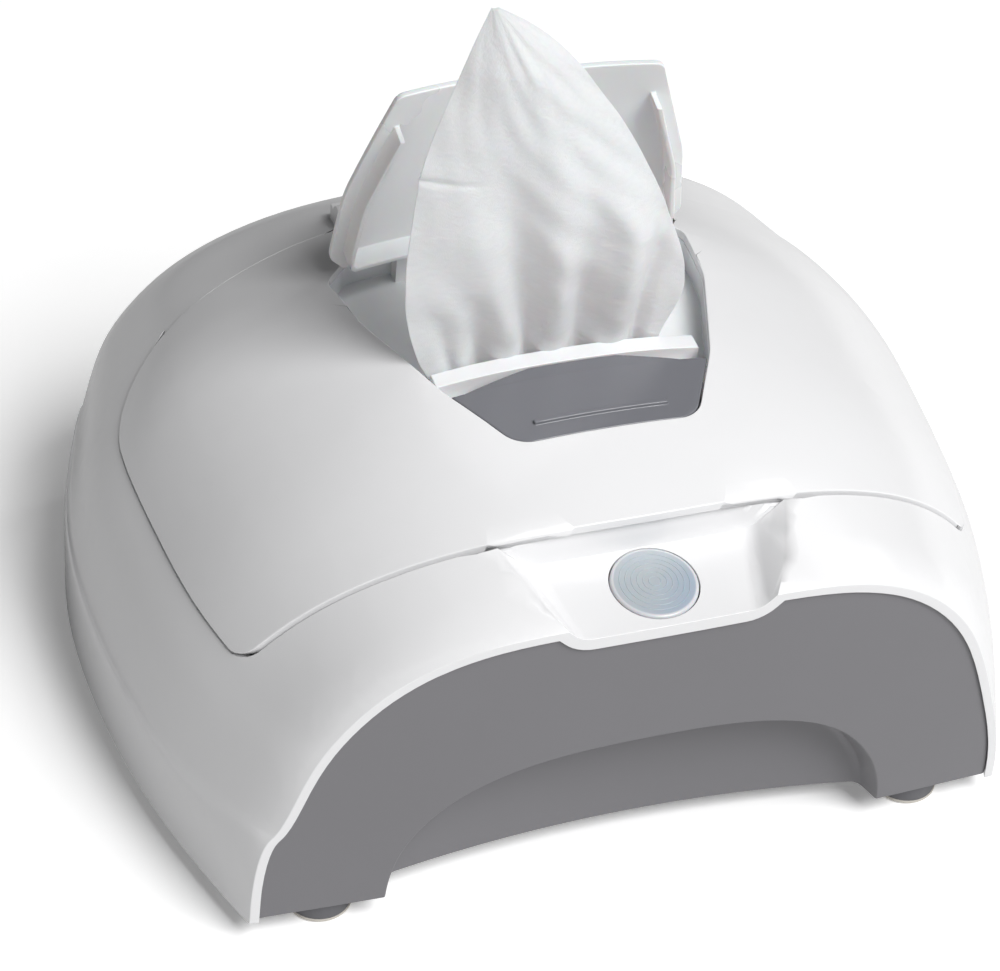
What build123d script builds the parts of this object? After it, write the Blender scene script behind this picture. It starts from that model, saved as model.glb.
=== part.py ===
"""Baby wipe warmer: hinged lid with flip cap, wipe chamber, warming plate and night light.

Millimetres. X across the front, Y from front to rear, Z up, resting on Z = 0.
The lid is shut and the flip cap stands open, with one wipe drawn up through the slot.
"""
from build123d import *
import math
import os

os.makedirs("parts", exist_ok=True)

# Overall form: arch sections that swell and fall along Y
base_z = 7.0
widest_y = 15.0
crown_y = -4.0
front_station_y = -92.0
rear_station_y = 88.5
mid_half_width = 131.5
front_half_width = 109.5
rear_half_width = 115.0
crown_top = 118.4
front_top = 102.0
rear_top = 102.0
front_fall_power = 2.5
front_arch_power = 4.1
front_lean = 0.265
front_share_power = 5
mid_arch_power = 2.35
rear_arch_power = 2.75
arch_points = 17
station_count = 9
half_depth = 95.5
end_bow = 4.9
bow_reach = 140.0
form_ceiling = 140.0
shell_wall = 2.6

# Seam between lid and body
lid_front_y = -70.2
lid_front_bow = 20.0
lid_rear_y = 75.0
lid_rear_bow = 29.0
seam_z = 71.0
seam_rear_round = 25.0
seam_front_round = 6.0
seam_gap = 0.9
lid_stand_proud = 0.6
lid_wall = 2.6

# Well in the deck that takes the tub flange
well_half_x = 103.5
well_front_y = -58.5
well_rear_y = 66.5
well_floor_z = 64.0
well_corner = 22.0

# Finger scoop and night light shelf
shelf_y = -81.0
shelf_z = 98.0
shelf_tilt = 6.0
shelf_front_half = 18.5
shelf_rear_half = 32.8
shelf_front_reach = 40.0
shelf_rear_reach = 19.5
shelf_height = 24.0
shelf_rear_lean = 3.0
shelf_round = 7.0
pocket_half_x = 44.0
pocket_rear_y = -60.0
pocket_roof_inset = 3.4

# Front panel
panel_setback = 0.8
panel_wall = 2.5
panel_gap = 0.15
panel_lip = 4.0
seat_width = 4.0
seat_thickness = 2.0
panel_foot_z = 8.0
recess_half_x = 74.0
recess_top_z = 55.2
recess_arch_power = 2.65
recess_arch_steps = 4
recess_back_shrink = 7.0
recess_front_y = -98.0
recess_end_y = -79.0
recess_wall_y = -79.8
recess_wall_bow = 24.0
recess_round = 4.0

# Base plate, feet and screws
plate_gap = 0.3
plate_bottom_z = 7.2
plate_thickness = 2.5
foot_x = 87.3
foot_front_y = -82.0
foot_rear_y = 74.0
foot_radius = 9.0
pad_radius = 9.3
pad_height = 1.2
boss_radius = 4.0
boss_height = 22.0
base_screw_places = [(114.8, -60.0), (-114.8, -60.0), (125.6, 20.0), (-125.6, 20.0), (60.0, 88.8), (-60.0, 88.8)]
screw_radius = 1.4
screw_hole_gap = 0.05
screw_length = 13.0
screw_head_radius = 2.9
screw_head_height = 1.8

# Wipe tub
tub_half_x = 98.0
tub_front_y = -50.5
tub_rear_y = 61.0
tub_corner = 18.0
tub_wall = 2.0
tub_bottom_z = 24.0
tub_flange = 4.0
tub_gap = 0.4

# Warming plate, film and thermostat under the tub
heat_inset = 12.0
heat_plate_thickness = 1.5
heat_film_thickness = 0.8
heat_film_inset = 18.0
thermostat_radius = 8.0
thermostat_height = 5.0
thermostat_x = -40.0
thermostat_y = 10.0
heat_corner = 8.0

# Opening in the lid for cap and tab
opening_corners = [(45.0, 52.8), (53.4, 43.5), (50.4, 20.0), (38.4, -15.5), (25.6, -40.3)]
opening_rounds = [5.0, 5.0, 40.0, 40.0, 9.0]
opening_gap = 0.7
cap_front_y = -14.5
cap_rear_y = 48.5

# Flip cap
cap_axis_y = 49.5
cap_axis_z = 111.5
cap_open_angle = 77.0
cap_wall = 1.8
cap_skirt_inset = 4.0
cap_skirt_wall = 1.4
cap_skirt_depth = 7.4
cap_pin_radius = 1.25
cap_pin_gap = 0.05
cap_eye_radius = 2.4
cap_eye_inner_x = 18.0
cap_eye_outer_x = 26.0
cap_lug_inner_x = 26.5
cap_lug_outer_x = 32.0
cap_lug_snap_rise = 0.5
cap_notch_gap = 0.4
cap_pin_half = 31.5
cap_skirt_front_y = -3.0
cap_skirt_rear_y = 44.0
cap_skirt_back_half = 46.0

# Dispensing tray under the cap
tray_depth = 8.6
tray_wall = 1.8
tray_flange = 5.0
slot_half_x = 38.0
slot_front_y = -3.7
slot_rear_y = 1.5
slot_lip_front_y = -9.2
slot_lip_inset = 3.4
tray_low_z = 98.0

# Release tab
tab_rear_y = -10.2
tab_thickness = 2.0
tab_gap = 0.5
tab_ledge_y = -17.6
tab_ledge_drop = 2.9
tab_axis_y = -22.0
tab_axis_z = 110.6
tab_pin_radius = 1.0
tab_pin_gap = 0.06
tab_ear_inner_x = 28.8
tab_ear_outer_x = 31.0
tab_post_outer_x = 33.4
tab_spring_y = -31.0
tab_spring_radius = 2.6
tab_spring_wire = 0.5
tab_spring_pitch = 1.25
tab_spring_height = 5.6
tab_spring_z = 109.35
tab_grip_y = -33.8
tab_grip_half_x = 19.0
tab_grip_height = 0.9
tab_rear_corners = [(12.6, -10.2), (36.8, -15.8), (45.0, -16.0), (45.0, -60.0)]

# Lid liner and seal
liner_half_x = 94.0
liner_front_y = -46.5
liner_rear_y = 57.0
liner_corner = 16.0
liner_wall = 1.8
liner_depth = 12.4
liner_foot_z = 68.4
liner_foot_outset = 6.0
liner_slot_half_x = 42.0
liner_slot_front_y = -14.0
liner_slot_rear_y = 12.0
liner_post_places = [(80.0, -34.0), (-80.0, -34.0), (80.0, 40.0), (-80.0, 40.0)]
liner_post_radius = 3.6
liner_pad_z = 76.0
seal_width = 4.0
seal_clear = 0.3

# Lid hinge
hinge_y = 75.2
hinge_z = 107.0
hinge_pin_radius = 1.5
hinge_pin_gap = 0.05
knuckle_radius = 3.4
knuckle_clear = 0.5
knuckle_starts = (12.0, 20.5, 33.5)
knuckle_ends = (20.0, 33.0, 41.5)

# Night light
lens_radius = 11.8
lens_hole_gap = 0.35
lens_rise = 0.4
lens_thickness = 3.0
lens_skirt_radius = 6.8
lens_skirt_wall = 1.2
lens_skirt_depth = 5.0
lens_stem_radius = 1.2
lens_stem_end = 5.2
lens_travel_gap = 1.3
holder_ring_gap = 0.35
holder_ring_wall = 1.4
holder_floor = 11.0
holder_plate = 2.0
holder_half_x = 20.0
holder_front = 8.6
holder_rear = 8.6
holder_post_x = 16.6
holder_post_radius = 2.6
board_thickness = 1.2
switch_size = 5.0
switch_height = 3.4
led_size = 2.2
led_height = 1.0
led_circle = 4.6

# Power inlet and control board
jack_x = 78.0
jack_z = 22.0
jack_width = 9.0
jack_height = 10.6
jack_length = 13.0
jack_bore = 3.0
jack_nose_radius = 4.2
control_half_x = 30.0
control_half_y = 8.0
control_x = 36.0
control_y = 74.5
control_z = 16.0
standoff_radius = 2.4
board_screw_radius = 1.1
board_screw_length = 6.0
board_screw_places = [(10.0, 69.5), (62.0, 69.5), (10.0, 79.5), (62.0, 79.5)]
jack_rear_y = 91.2
jack_nose_length = 2.4
jack_bore_depth = 9.0
jack_pin_radius = 1.0

# Wipe
wipe_thickness = 0.8
wipe_slot_gap = 0.3
wipe_tail_z = 92.0
wipe_tail_half = 30.0
wipe_right_edge = [(34, 107), (29, 116), (34, 129), (32, 144), (25, 160), (14, 181), (-3, 207), (-25, 228)]
wipe_left_edge = [(-36, 106), (-43, 120), (-46.5, 138), (-46, 155), (-45.5, 171), (-43, 188), (-37, 207), (-29.5, 229.5)]

# Values that follow from the ones above
panel_seat_front = panel_setback + panel_wall
panel_seat_rear = panel_seat_front + seat_thickness
plate_top_z = plate_bottom_z + plate_thickness
heat_plate_z = tub_bottom_z - tub_wall - heat_plate_thickness
heat_film_z = heat_plate_z - heat_film_thickness
tray_top_inset = lid_wall - lid_stand_proud + 0.1
wipe_y = slot_front_y + wipe_slot_gap + wipe_thickness / 2


def span_fall(y, centre, front_drop, rear_drop, front_power):
    """Amount lost from the middle value of a profile at station y."""
    if y < centre:
        return front_drop * ((centre - y) / (centre - front_station_y)) ** front_power
    return rear_drop * ((y - centre) / (rear_station_y - centre)) ** 2


def half_width(y):
    """Half width of the outer form at station y."""
    return mid_half_width - span_fall(
        y, widest_y, mid_half_width - front_half_width, mid_half_width - rear_half_width, 2
    )


def top_height(y):
    """Height of the outer form on the centre line at station y."""
    return crown_top - span_fall(
        y, crown_y, crown_top - front_top, crown_top - rear_top, front_fall_power
    )


def front_share(y):
    """How far station y has taken on the shape of the front, from 0 at mid depth."""
    return (max(-y, 0) / half_depth) ** front_share_power


def arch_power(y):
    """Squareness of the arch at station y."""
    front_rise = (front_arch_power - mid_arch_power) * front_share(y)
    rear_rise = (rear_arch_power - mid_arch_power) * max(y, 0) / half_depth
    return mid_arch_power + front_rise + rear_rise


def arch_line(y, inset):
    """Points over the arch at station y, moved inward by inset."""
    wide = half_width(y) - inset
    high = top_height(y) - inset - base_z
    power = 2 / arch_power(y)
    lean = front_lean * front_share(y) * high
    points = []
    for index in range(arch_points):
        turn = math.pi * index / (arch_points - 1)
        across = math.copysign(abs(math.cos(turn)) ** power, math.cos(turn))
        rise = max(math.sin(turn), 0) ** power
        points.append(((wide - lean * rise) * across, base_z + high * rise))
    return points


def plan_block(front_y, front_bow, rear_y, rear_bow, low_z, high_z):
    """Upright block whose front and rear faces are bowed in plan."""
    with BuildPart() as block:
        with BuildSketch(Plane.XY.offset(low_z)):
            with BuildLine():
                ThreePointArc(
                    (-bow_reach, front_y + front_bow), (0, front_y), (bow_reach, front_y + front_bow)
                )
                Line((bow_reach, front_y + front_bow), (bow_reach, rear_y - rear_bow))
                ThreePointArc((bow_reach, rear_y - rear_bow), (0, rear_y), (-bow_reach, rear_y - rear_bow))
                Line((-bow_reach, rear_y - rear_bow), (-bow_reach, front_y + front_bow))
            make_face()
        extrude(amount=high_z - low_z)
    return block.part


def front_slice(start, end):
    """Slice of space between two depths behind the bowed front face."""
    return plan_block(
        start - half_depth, end_bow, end - half_depth, -end_bow, 0, form_ceiling
    )


def arch_form(inset, floor_z, front_depth=None):
    """Outer form moved inward by inset, carried down to floor_z, starting at front_depth."""
    reach = half_depth + 3
    start = inset if front_depth is None else front_depth
    low_z = floor_z - 10
    with BuildPart() as form:
        for index in range(station_count):
            y = -reach + 2 * reach * index / (station_count - 1)
            points = arch_line(y, inset)
            with BuildSketch(Plane(origin=(0, y, 0), x_dir=(1, 0, 0), z_dir=(0, -1, 0))):
                with BuildLine():
                    Spline(*points, tangents=((0, 1), (0, -1)))
                    Polyline(points[-1], (points[-1][0], low_z), (points[0][0], low_z), points[0])
                make_face()
        loft()
        add(
            plan_block(
                start - half_depth, end_bow, half_depth - inset, end_bow, floor_z, form_ceiling
            ),
            mode=Mode.INTERSECT,
        )
    return form.part


def round_box(half_x, front_y, rear_y, corner, low_z, high_z):
    """Upright box with rounded corners in plan."""
    with BuildPart() as box:
        with BuildSketch(Plane.XY.offset(low_z)):
            with Locations((0, (front_y + rear_y) / 2)):
                RectangleRounded(2 * half_x, rear_y - front_y, corner)
        extrude(amount=high_z - low_z)
    return box.part


def slab(half_x, front_y, rear_y, low_z, high_z):
    """Plain box from its limits, centred across the object."""
    with BuildPart() as box:
        with Locations((0, (front_y + rear_y) / 2, (low_z + high_z) / 2)):
            Box(2 * half_x, rear_y - front_y, high_z - low_z)
    return box.part


def round_bar(x_from, x_to, y, z, radius):
    """Cylinder lying along X."""
    with BuildPart() as bar:
        with BuildSketch(Plane(origin=(x_from, y, z), x_dir=(0, 1, 0), z_dir=(1, 0, 0))):
            Circle(radius)
        extrude(amount=x_to - x_from)
    return bar.part


def shelf_frame(drop):
    """Workplane on the night light shelf, moved down into the body by drop."""
    tilt = math.radians(shelf_tilt)
    normal = (0, -math.sin(tilt), math.cos(tilt))
    origin = (0, shelf_y - drop * normal[1], shelf_z - drop * normal[2])
    return Plane(origin=origin, x_dir=(1, 0, 0), z_dir=normal)


def scoop_tool(grow):
    """Flared hollow above the shelf, grown outward by grow."""
    side = grow * (math.sqrt(2) - 1)
    front_half = shelf_front_half + side
    rear_half = shelf_rear_half + side
    rise = shelf_height + grow
    with BuildPart() as tool:
        with BuildSketch(Plane.XY.offset(-grow)):
            with BuildLine():
                Polyline(
                    (-front_half, -shelf_front_reach),
                    (front_half, -shelf_front_reach),
                    (rear_half, shelf_rear_reach + grow),
                    (-rear_half, shelf_rear_reach + grow),
                    close=True,
                )
            make_face()
        with BuildSketch(Plane.XY.offset(shelf_height)):
            with BuildLine():
                Polyline(
                    (-front_half - rise, -shelf_front_reach),
                    (front_half + rise, -shelf_front_reach),
                    (rear_half + rise, shelf_rear_reach + shelf_rear_lean + grow),
                    (-rear_half - rise, shelf_rear_reach + shelf_rear_lean + grow),
                    close=True,
                )
            make_face()
        loft()
        floor_edges = tool.edges().group_by(Axis.Z)[0].sort_by(Axis.Y)[1:]
        corner_edges = tool.edges().filter_by(lambda edge: edge.length > shelf_height + grow + 5).sort_by(Axis.Y)
        rising_edges = [edge for edge in corner_edges if abs(edge.tangent_at(0.5).Z) > 0.3][-2:]
        fillet(floor_edges + rising_edges, radius=shelf_round + grow)
    return tool.part.moved(shelf_frame(0).location)


def scoop_pocket(clear):
    """Body material that reaches under the lid edge behind the shelf."""
    block = slab(
        pocket_half_x - clear, lid_front_y - 12, pocket_rear_y - clear, well_floor_z - 10, form_ceiling
    )
    return block & arch_form(pocket_roof_inset + clear, base_z)


def seam_block(clear):
    """Space of the lid above the seam, grown outward by clear."""
    with BuildPart() as block:
        add(
            plan_block(
                lid_front_y - clear, lid_front_bow, lid_rear_y + clear, lid_rear_bow, seam_z - clear, form_ceiling
            )
        )
        low_edges = block.edges().group_by(Axis.Z)[0].filter_by(GeomType.CIRCLE).sort_by(Axis.Y)
        fillet(low_edges[1], radius=seam_rear_round + clear)
        low_front = block.edges().group_by(Axis.Z)[0].filter_by(GeomType.CIRCLE).sort_by(Axis.Y)[0]
        fillet(low_front, radius=seam_front_round + clear)
    return block.part


def lid_space(clear):
    """Everything above deck and seam that the body keeps clear of."""
    well = round_box(
        well_half_x + clear,
        well_front_y - clear,
        well_rear_y + clear,
        well_corner + clear,
        well_floor_z - clear,
        seam_z + 15,
    )
    return seam_block(clear) - scoop_pocket(clear) + well


def recess_outline(y, grow):
    """Arch of the front hollow at station y, closed by its mirror image below the floor."""
    quarter = []
    for index in range(recess_arch_steps):
        turn = math.pi / 2 * index / recess_arch_steps
        across = math.cos(turn) ** (2 / recess_arch_power)
        rise = math.sin(turn) ** (2 / recess_arch_power)
        quarter.append(((recess_half_x + grow) * across, (recess_top_z + grow) * rise))
    crown = (0.0, recess_top_z + grow)
    arch = quarter + [crown] + [(-x, z) for x, z in reversed(quarter)]
    below = [(x, -z) for x, z in reversed(arch[1:-1])]
    with BuildSketch(Plane(origin=(0, y, 0), x_dir=(1, 0, 0), z_dir=(0, -1, 0))) as outline:
        with BuildLine():
            Spline(*arch, *below, periodic=True)
        make_face()
    return outline.sketch


def recess_tool(grow):
    """Arched hollow across the foot of the front panel, grown outward by grow."""
    with BuildPart() as tool:
        add(recess_outline(recess_front_y, grow))
        add(recess_outline(recess_end_y + grow, grow - recess_back_shrink))
        loft()
        add(
            plan_block(
                recess_front_y - 50, 0.5, recess_wall_y + grow, recess_wall_bow, -recess_top_z * 2, form_ceiling
            ),
            mode=Mode.INTERSECT,
        )
        wall_edges = tool.edges().filter_by(lambda edge: edge.center().Y > recess_front_y + 4)
        fillet(wall_edges, radius=recess_round + grow)
    return tool.part


def opening_outline(inset):
    """Plan outline shared by the lid opening, tray, cap and tab."""
    with BuildSketch() as outline:
        with BuildLine():
            Polyline(*opening_corners, *[(-x, y) for x, y in reversed(opening_corners)], close=True)
        make_face()
        for (x, y), radius in zip(opening_corners, opening_rounds):
            fillet(outline.vertices().filter_by(lambda corner: math.dist((abs(corner.X), corner.Y), (x, y)) < 0.1), radius)
        offset(amount=-inset, kind=Kind.INTERSECTION, mode=Mode.REPLACE)
    return outline.sketch


def opening_prism(inset):
    """Upright prism on the opening outline."""
    with BuildPart() as prism:
        add(opening_outline(inset))
        extrude(amount=form_ceiling)
    return prism.part


def save(body, name):
    """Name the solid and write it out."""
    body.label = name
    export_step(body, "parts/" + name + ".step")


def make_body_shell():
    """Outer body moulding with band, scoop, deck, bosses and rear knuckles."""
    with BuildPart() as body_shell:
        add(arch_form(0, base_z))
        add(lid_space(0), mode=Mode.SUBTRACT)
        add(scoop_tool(0), mode=Mode.SUBTRACT)
        add(arch_form(shell_wall, -5, panel_seat_rear) - lid_space(shell_wall) - scoop_tool(shell_wall),
            mode=Mode.SUBTRACT)
        add((arch_form(shell_wall, -5, -2) & front_slice(-2, panel_seat_front)) - scoop_tool(panel_lip - panel_gap),
            mode=Mode.SUBTRACT)
        add((arch_form(shell_wall + seat_width, -5, -2) & front_slice(-2, panel_seat_rear))
            - scoop_tool(shell_wall + seat_width), mode=Mode.SUBTRACT)
        add(round_box(tub_half_x + tub_gap, tub_front_y - tub_gap, tub_rear_y + tub_gap, tub_corner + tub_gap,
                      seam_z - 12, seam_z), mode=Mode.SUBTRACT)
        for x, y in base_screw_places:
            with Locations((x, y, plate_top_z)):
                Cylinder(boss_radius, boss_height, align=(Align.CENTER, Align.CENTER, Align.MIN))
                Cylinder(screw_radius + screw_hole_gap, screw_length, mode=Mode.SUBTRACT,
                         align=(Align.CENTER, Align.CENTER, Align.MIN))
        with BuildSketch(shelf_frame(-2)):
            Circle(lens_radius + lens_hole_gap)
        extrude(amount=-shell_wall - 4, mode=Mode.SUBTRACT)
        with BuildSketch(Plane(origin=(jack_x, half_depth - 8, jack_z), x_dir=(1, 0, 0), z_dir=(0, 1, 0))):
            Circle(jack_nose_radius + 0.3)
        extrude(amount=12, mode=Mode.SUBTRACT)
        for side in (1, -1):
            add(knuckle_bar(1, side, knuckle_clear), mode=Mode.SUBTRACT)
            for index in (0, 2):
                add(knuckle_web(index, side, 0.5, 6.0, -6.0, 0.6))
                add(knuckle_bar(index, side, 0))
            add(hinge_bore(side), mode=Mode.SUBTRACT)
    return body_shell.part


def knuckle_bar(index, side, clear):
    """One hinge knuckle, or the room round it when clear is above zero."""
    ends = sorted((side * (knuckle_starts[index] - clear), side * (knuckle_ends[index] + clear)))
    return round_bar(ends[0], ends[1], hinge_y, hinge_z, knuckle_radius + clear)


def knuckle_web(index, side, near, far, low, high):
    """Web joining a knuckle to its moulding."""
    ends = sorted((side * knuckle_starts[index], side * knuckle_ends[index]))
    with BuildPart() as web:
        with Locations(((ends[0] + ends[1]) / 2, hinge_y + (near + far) / 2, hinge_z + (low + high) / 2)):
            Box(ends[1] - ends[0], abs(far - near), high - low)
    return web.part


def hinge_bore(side):
    """Bore for one lid hinge pin, blind at its outer end."""
    ends = sorted((side * (knuckle_starts[0] - 1), side * (knuckle_ends[2] - 1)))
    return round_bar(ends[0], ends[1], hinge_y, hinge_z, hinge_pin_radius + hinge_pin_gap)


def make_hinge_pins():
    """Two steel pins for the lid hinge."""
    with BuildPart() as lid_hinge_pins:
        for side in (1, -1):
            ends = sorted((side * (knuckle_starts[0] + 0.5), side * (knuckle_ends[2] - 1.2)))
            add(round_bar(ends[0], ends[1], hinge_y, hinge_z, hinge_pin_radius))
    return lid_hinge_pins.part


def make_front_panel():
    """Grey front cover with the arched hollow at its foot."""
    with BuildPart() as front_panel:
        add(arch_form(shell_wall + panel_gap, panel_foot_z, panel_setback))
        add(front_slice(panel_setback, panel_seat_front) + recess_tool(panel_wall), mode=Mode.INTERSECT)
        add(scoop_tool(panel_lip), mode=Mode.SUBTRACT)
        add(recess_tool(0), mode=Mode.SUBTRACT)
    return front_panel.part


def make_base_plate():
    """Bottom cover with foot posts, board standoffs and inlet cradle."""
    with BuildPart() as base_plate:
        add(arch_form(shell_wall + plate_gap, plate_bottom_z, panel_seat_rear + plate_gap))
        add(plan_block(-half_depth, 0.1, half_depth, 0.1, plate_bottom_z, plate_top_z), mode=Mode.INTERSECT)
        add(recess_tool(panel_wall + plate_gap), mode=Mode.SUBTRACT)
        for x in (-foot_x, foot_x):
            for y in (foot_front_y, foot_rear_y):
                with Locations((x, y, pad_height)):
                    Cylinder(foot_radius, base_z - pad_height - 0.3, align=(Align.CENTER, Align.CENTER, Align.MIN))
                with Locations((x, y + math.copysign(2, -y), pad_height)):
                    Cylinder(foot_radius - 4, plate_bottom_z - pad_height + 0.2,
                             align=(Align.CENTER, Align.CENTER, Align.MIN))
        for x, y in base_screw_places:
            with Locations((x, y, plate_bottom_z)):
                Cylinder(screw_radius + 0.2, 4 * plate_thickness, mode=Mode.SUBTRACT)
        for x, y in board_screw_places:
            with Locations((x, y, plate_top_z)):
                Cylinder(standoff_radius, control_z - plate_top_z, align=(Align.CENTER, Align.CENTER, Align.MIN))
                Cylinder(board_screw_radius + screw_hole_gap, control_z - plate_top_z, mode=Mode.SUBTRACT,
                         align=(Align.CENTER, Align.CENTER, Align.MIN))
        with Locations((jack_x, jack_rear_y - jack_length / 2, plate_top_z)):
            Box(jack_width, jack_length - 3, jack_z - jack_height / 2 - plate_top_z,
                align=(Align.CENTER, Align.CENTER, Align.MIN))
    return base_plate.part


def make_foot_pads():
    """Four rubber pads under the foot posts."""
    with BuildPart() as foot_pads:
        for x in (-foot_x, foot_x):
            for y in (foot_front_y, foot_rear_y):
                with Locations((x, y, 0)):
                    Cylinder(pad_radius, pad_height, align=(Align.CENTER, Align.CENTER, Align.MIN))
        chamfer(foot_pads.faces().sort_by(Axis.Z)[:4].edges(), length=0.6)
    return foot_pads.part


def make_base_screws():
    """Six screws that hold the bottom cover."""
    with BuildPart() as base_screws:
        for x, y in base_screw_places:
            with Locations((x, y, plate_bottom_z)):
                Cylinder(screw_radius, screw_length, align=(Align.CENTER, Align.CENTER, Align.MIN))
                Cylinder(screw_head_radius, screw_head_height, align=(Align.CENTER, Align.CENTER, Align.MAX))
    return base_screws.part


def make_wipe_tub():
    """Wipe chamber hanging from the deck by its flange."""
    with BuildPart() as wipe_tub:
        add(round_box(tub_half_x, tub_front_y, tub_rear_y, tub_corner, tub_bottom_z - tub_wall, well_floor_z))
        add(round_box(tub_half_x + tub_flange, tub_front_y - tub_flange, tub_rear_y + tub_flange,
                      tub_corner + tub_flange, well_floor_z, well_floor_z + tub_wall))
        add(round_box(tub_half_x - tub_wall, tub_front_y + tub_wall, tub_rear_y - tub_wall, tub_corner - tub_wall,
                      tub_bottom_z, well_floor_z + 2 * tub_wall), mode=Mode.SUBTRACT)
    return wipe_tub.part


def make_heater_plate():
    """Aluminium plate that spreads the heat under the tub."""
    return round_box(tub_half_x - heat_inset, tub_front_y + heat_inset, tub_rear_y - heat_inset, heat_corner,
                     heat_plate_z, tub_bottom_z - tub_wall)


def make_heater_film():
    """Heating film bonded under the plate."""
    return round_box(tub_half_x - heat_film_inset, tub_front_y + heat_film_inset, tub_rear_y - heat_film_inset,
                     heat_corner, heat_film_z, heat_plate_z)


def make_thermostat():
    """Temperature switch with two tabs, pressed on the film."""
    with BuildPart() as thermostat:
        with Locations((thermostat_x, thermostat_y, heat_film_z)):
            Cylinder(thermostat_radius, thermostat_height, align=(Align.CENTER, Align.CENTER, Align.MAX))
        with Locations((thermostat_x, thermostat_y, heat_film_z - thermostat_height)):
            Box(2 * thermostat_radius + 8, 4, 0.8, align=(Align.CENTER, Align.CENTER, Align.MIN))
    return thermostat.part


def make_control_board():
    """Main circuit board on the bottom cover."""
    with BuildPart() as control_board:
        with Locations((control_x, control_y, control_z)):
            Box(2 * control_half_x, 2 * control_half_y, board_thickness, align=(Align.CENTER, Align.CENTER, Align.MIN))
        for x, y in board_screw_places:
            with Locations((x, y, control_z)):
                Cylinder(board_screw_radius + screw_hole_gap, 4 * board_thickness, mode=Mode.SUBTRACT)
    return control_board.part


def make_board_components():
    """Relay, capacitor and controller on the main board."""
    top = control_z + board_thickness
    with BuildPart() as board_components:
        with Locations((control_x - 13, control_y, top)):
            Box(14, 11, 12, align=(Align.CENTER, Align.CENTER, Align.MIN))
        with Locations((control_x + 3, control_y, top)):
            Cylinder(4, 10, align=(Align.CENTER, Align.CENTER, Align.MIN))
        with Locations((control_x + 15, control_y, top)):
            Box(9, 7, 1.6, align=(Align.CENTER, Align.CENTER, Align.MIN))
    return board_components.part


def make_board_screws():
    """Four small screws that hold the main board."""
    with BuildPart() as board_screws:
        for x, y in board_screw_places:
            with Locations((x, y, control_z + board_thickness)):
                Cylinder(board_screw_radius, board_screw_length, align=(Align.CENTER, Align.CENTER, Align.MAX))
                Cylinder(2 * board_screw_radius, board_screw_radius, align=(Align.CENTER, Align.CENTER, Align.MIN))
    return board_screws.part


def make_dc_jack():
    """Low voltage inlet, open to the rear."""
    with BuildPart() as dc_jack:
        with Locations((jack_x, jack_rear_y - jack_length / 2, jack_z)):
            Box(jack_width, jack_length, jack_height)
        add(rear_bar(jack_nose_radius, jack_rear_y, jack_rear_y + jack_nose_length))
        add(rear_bar(jack_bore, jack_rear_y + jack_nose_length - jack_bore_depth, half_depth), mode=Mode.SUBTRACT)
        add(rear_bar(jack_pin_radius, jack_rear_y - jack_length + 2, jack_rear_y))
    return dc_jack.part


def rear_bar(radius, y_from, y_to):
    """Cylinder along Y on the inlet axis."""
    with BuildPart() as bar:
        with BuildSketch(Plane(origin=(jack_x, y_from, jack_z), x_dir=(1, 0, 0), z_dir=(0, 1, 0))):
            Circle(radius)
        extrude(amount=y_to - y_from)
    return bar.part


def make_lid_shell():
    """Outer lid moulding with opening, hinge knuckles and liner posts."""
    with BuildPart() as lid_shell:
        add(arch_form(-lid_stand_proud, base_z))
        add(seam_block(-seam_gap), mode=Mode.INTERSECT)
        add(arch_form(lid_wall - lid_stand_proud, base_z), mode=Mode.SUBTRACT)
        posts = BuildPart(mode=Mode.PRIVATE)
        with posts:
            for x, y in liner_post_places:
                with Locations((x, y, liner_pad_z)):
                    Cylinder(liner_post_radius, form_ceiling, align=(Align.CENTER, Align.CENTER, Align.MIN))
        add((posts.part & arch_form(lid_wall - lid_stand_proud - 1, base_z)) - arch_form(liner_depth - 0.1, base_z))
        for x, y in liner_post_places:
            with Locations((x, y, liner_pad_z)):
                Cylinder(screw_radius + screw_hole_gap, 2 * screw_length + 1, mode=Mode.SUBTRACT)
        add(opening_prism(0), mode=Mode.SUBTRACT)
        for side in (1, -1):
            for index in (0, 2):
                add(knuckle_bar(index, side, knuckle_clear), mode=Mode.SUBTRACT)
            add(knuckle_web(1, side, -6.0, -0.5, -3.0, 0.4))
            add(knuckle_bar(1, side, 0))
            add(hinge_bore(side), mode=Mode.SUBTRACT)
    return lid_shell.part


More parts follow.
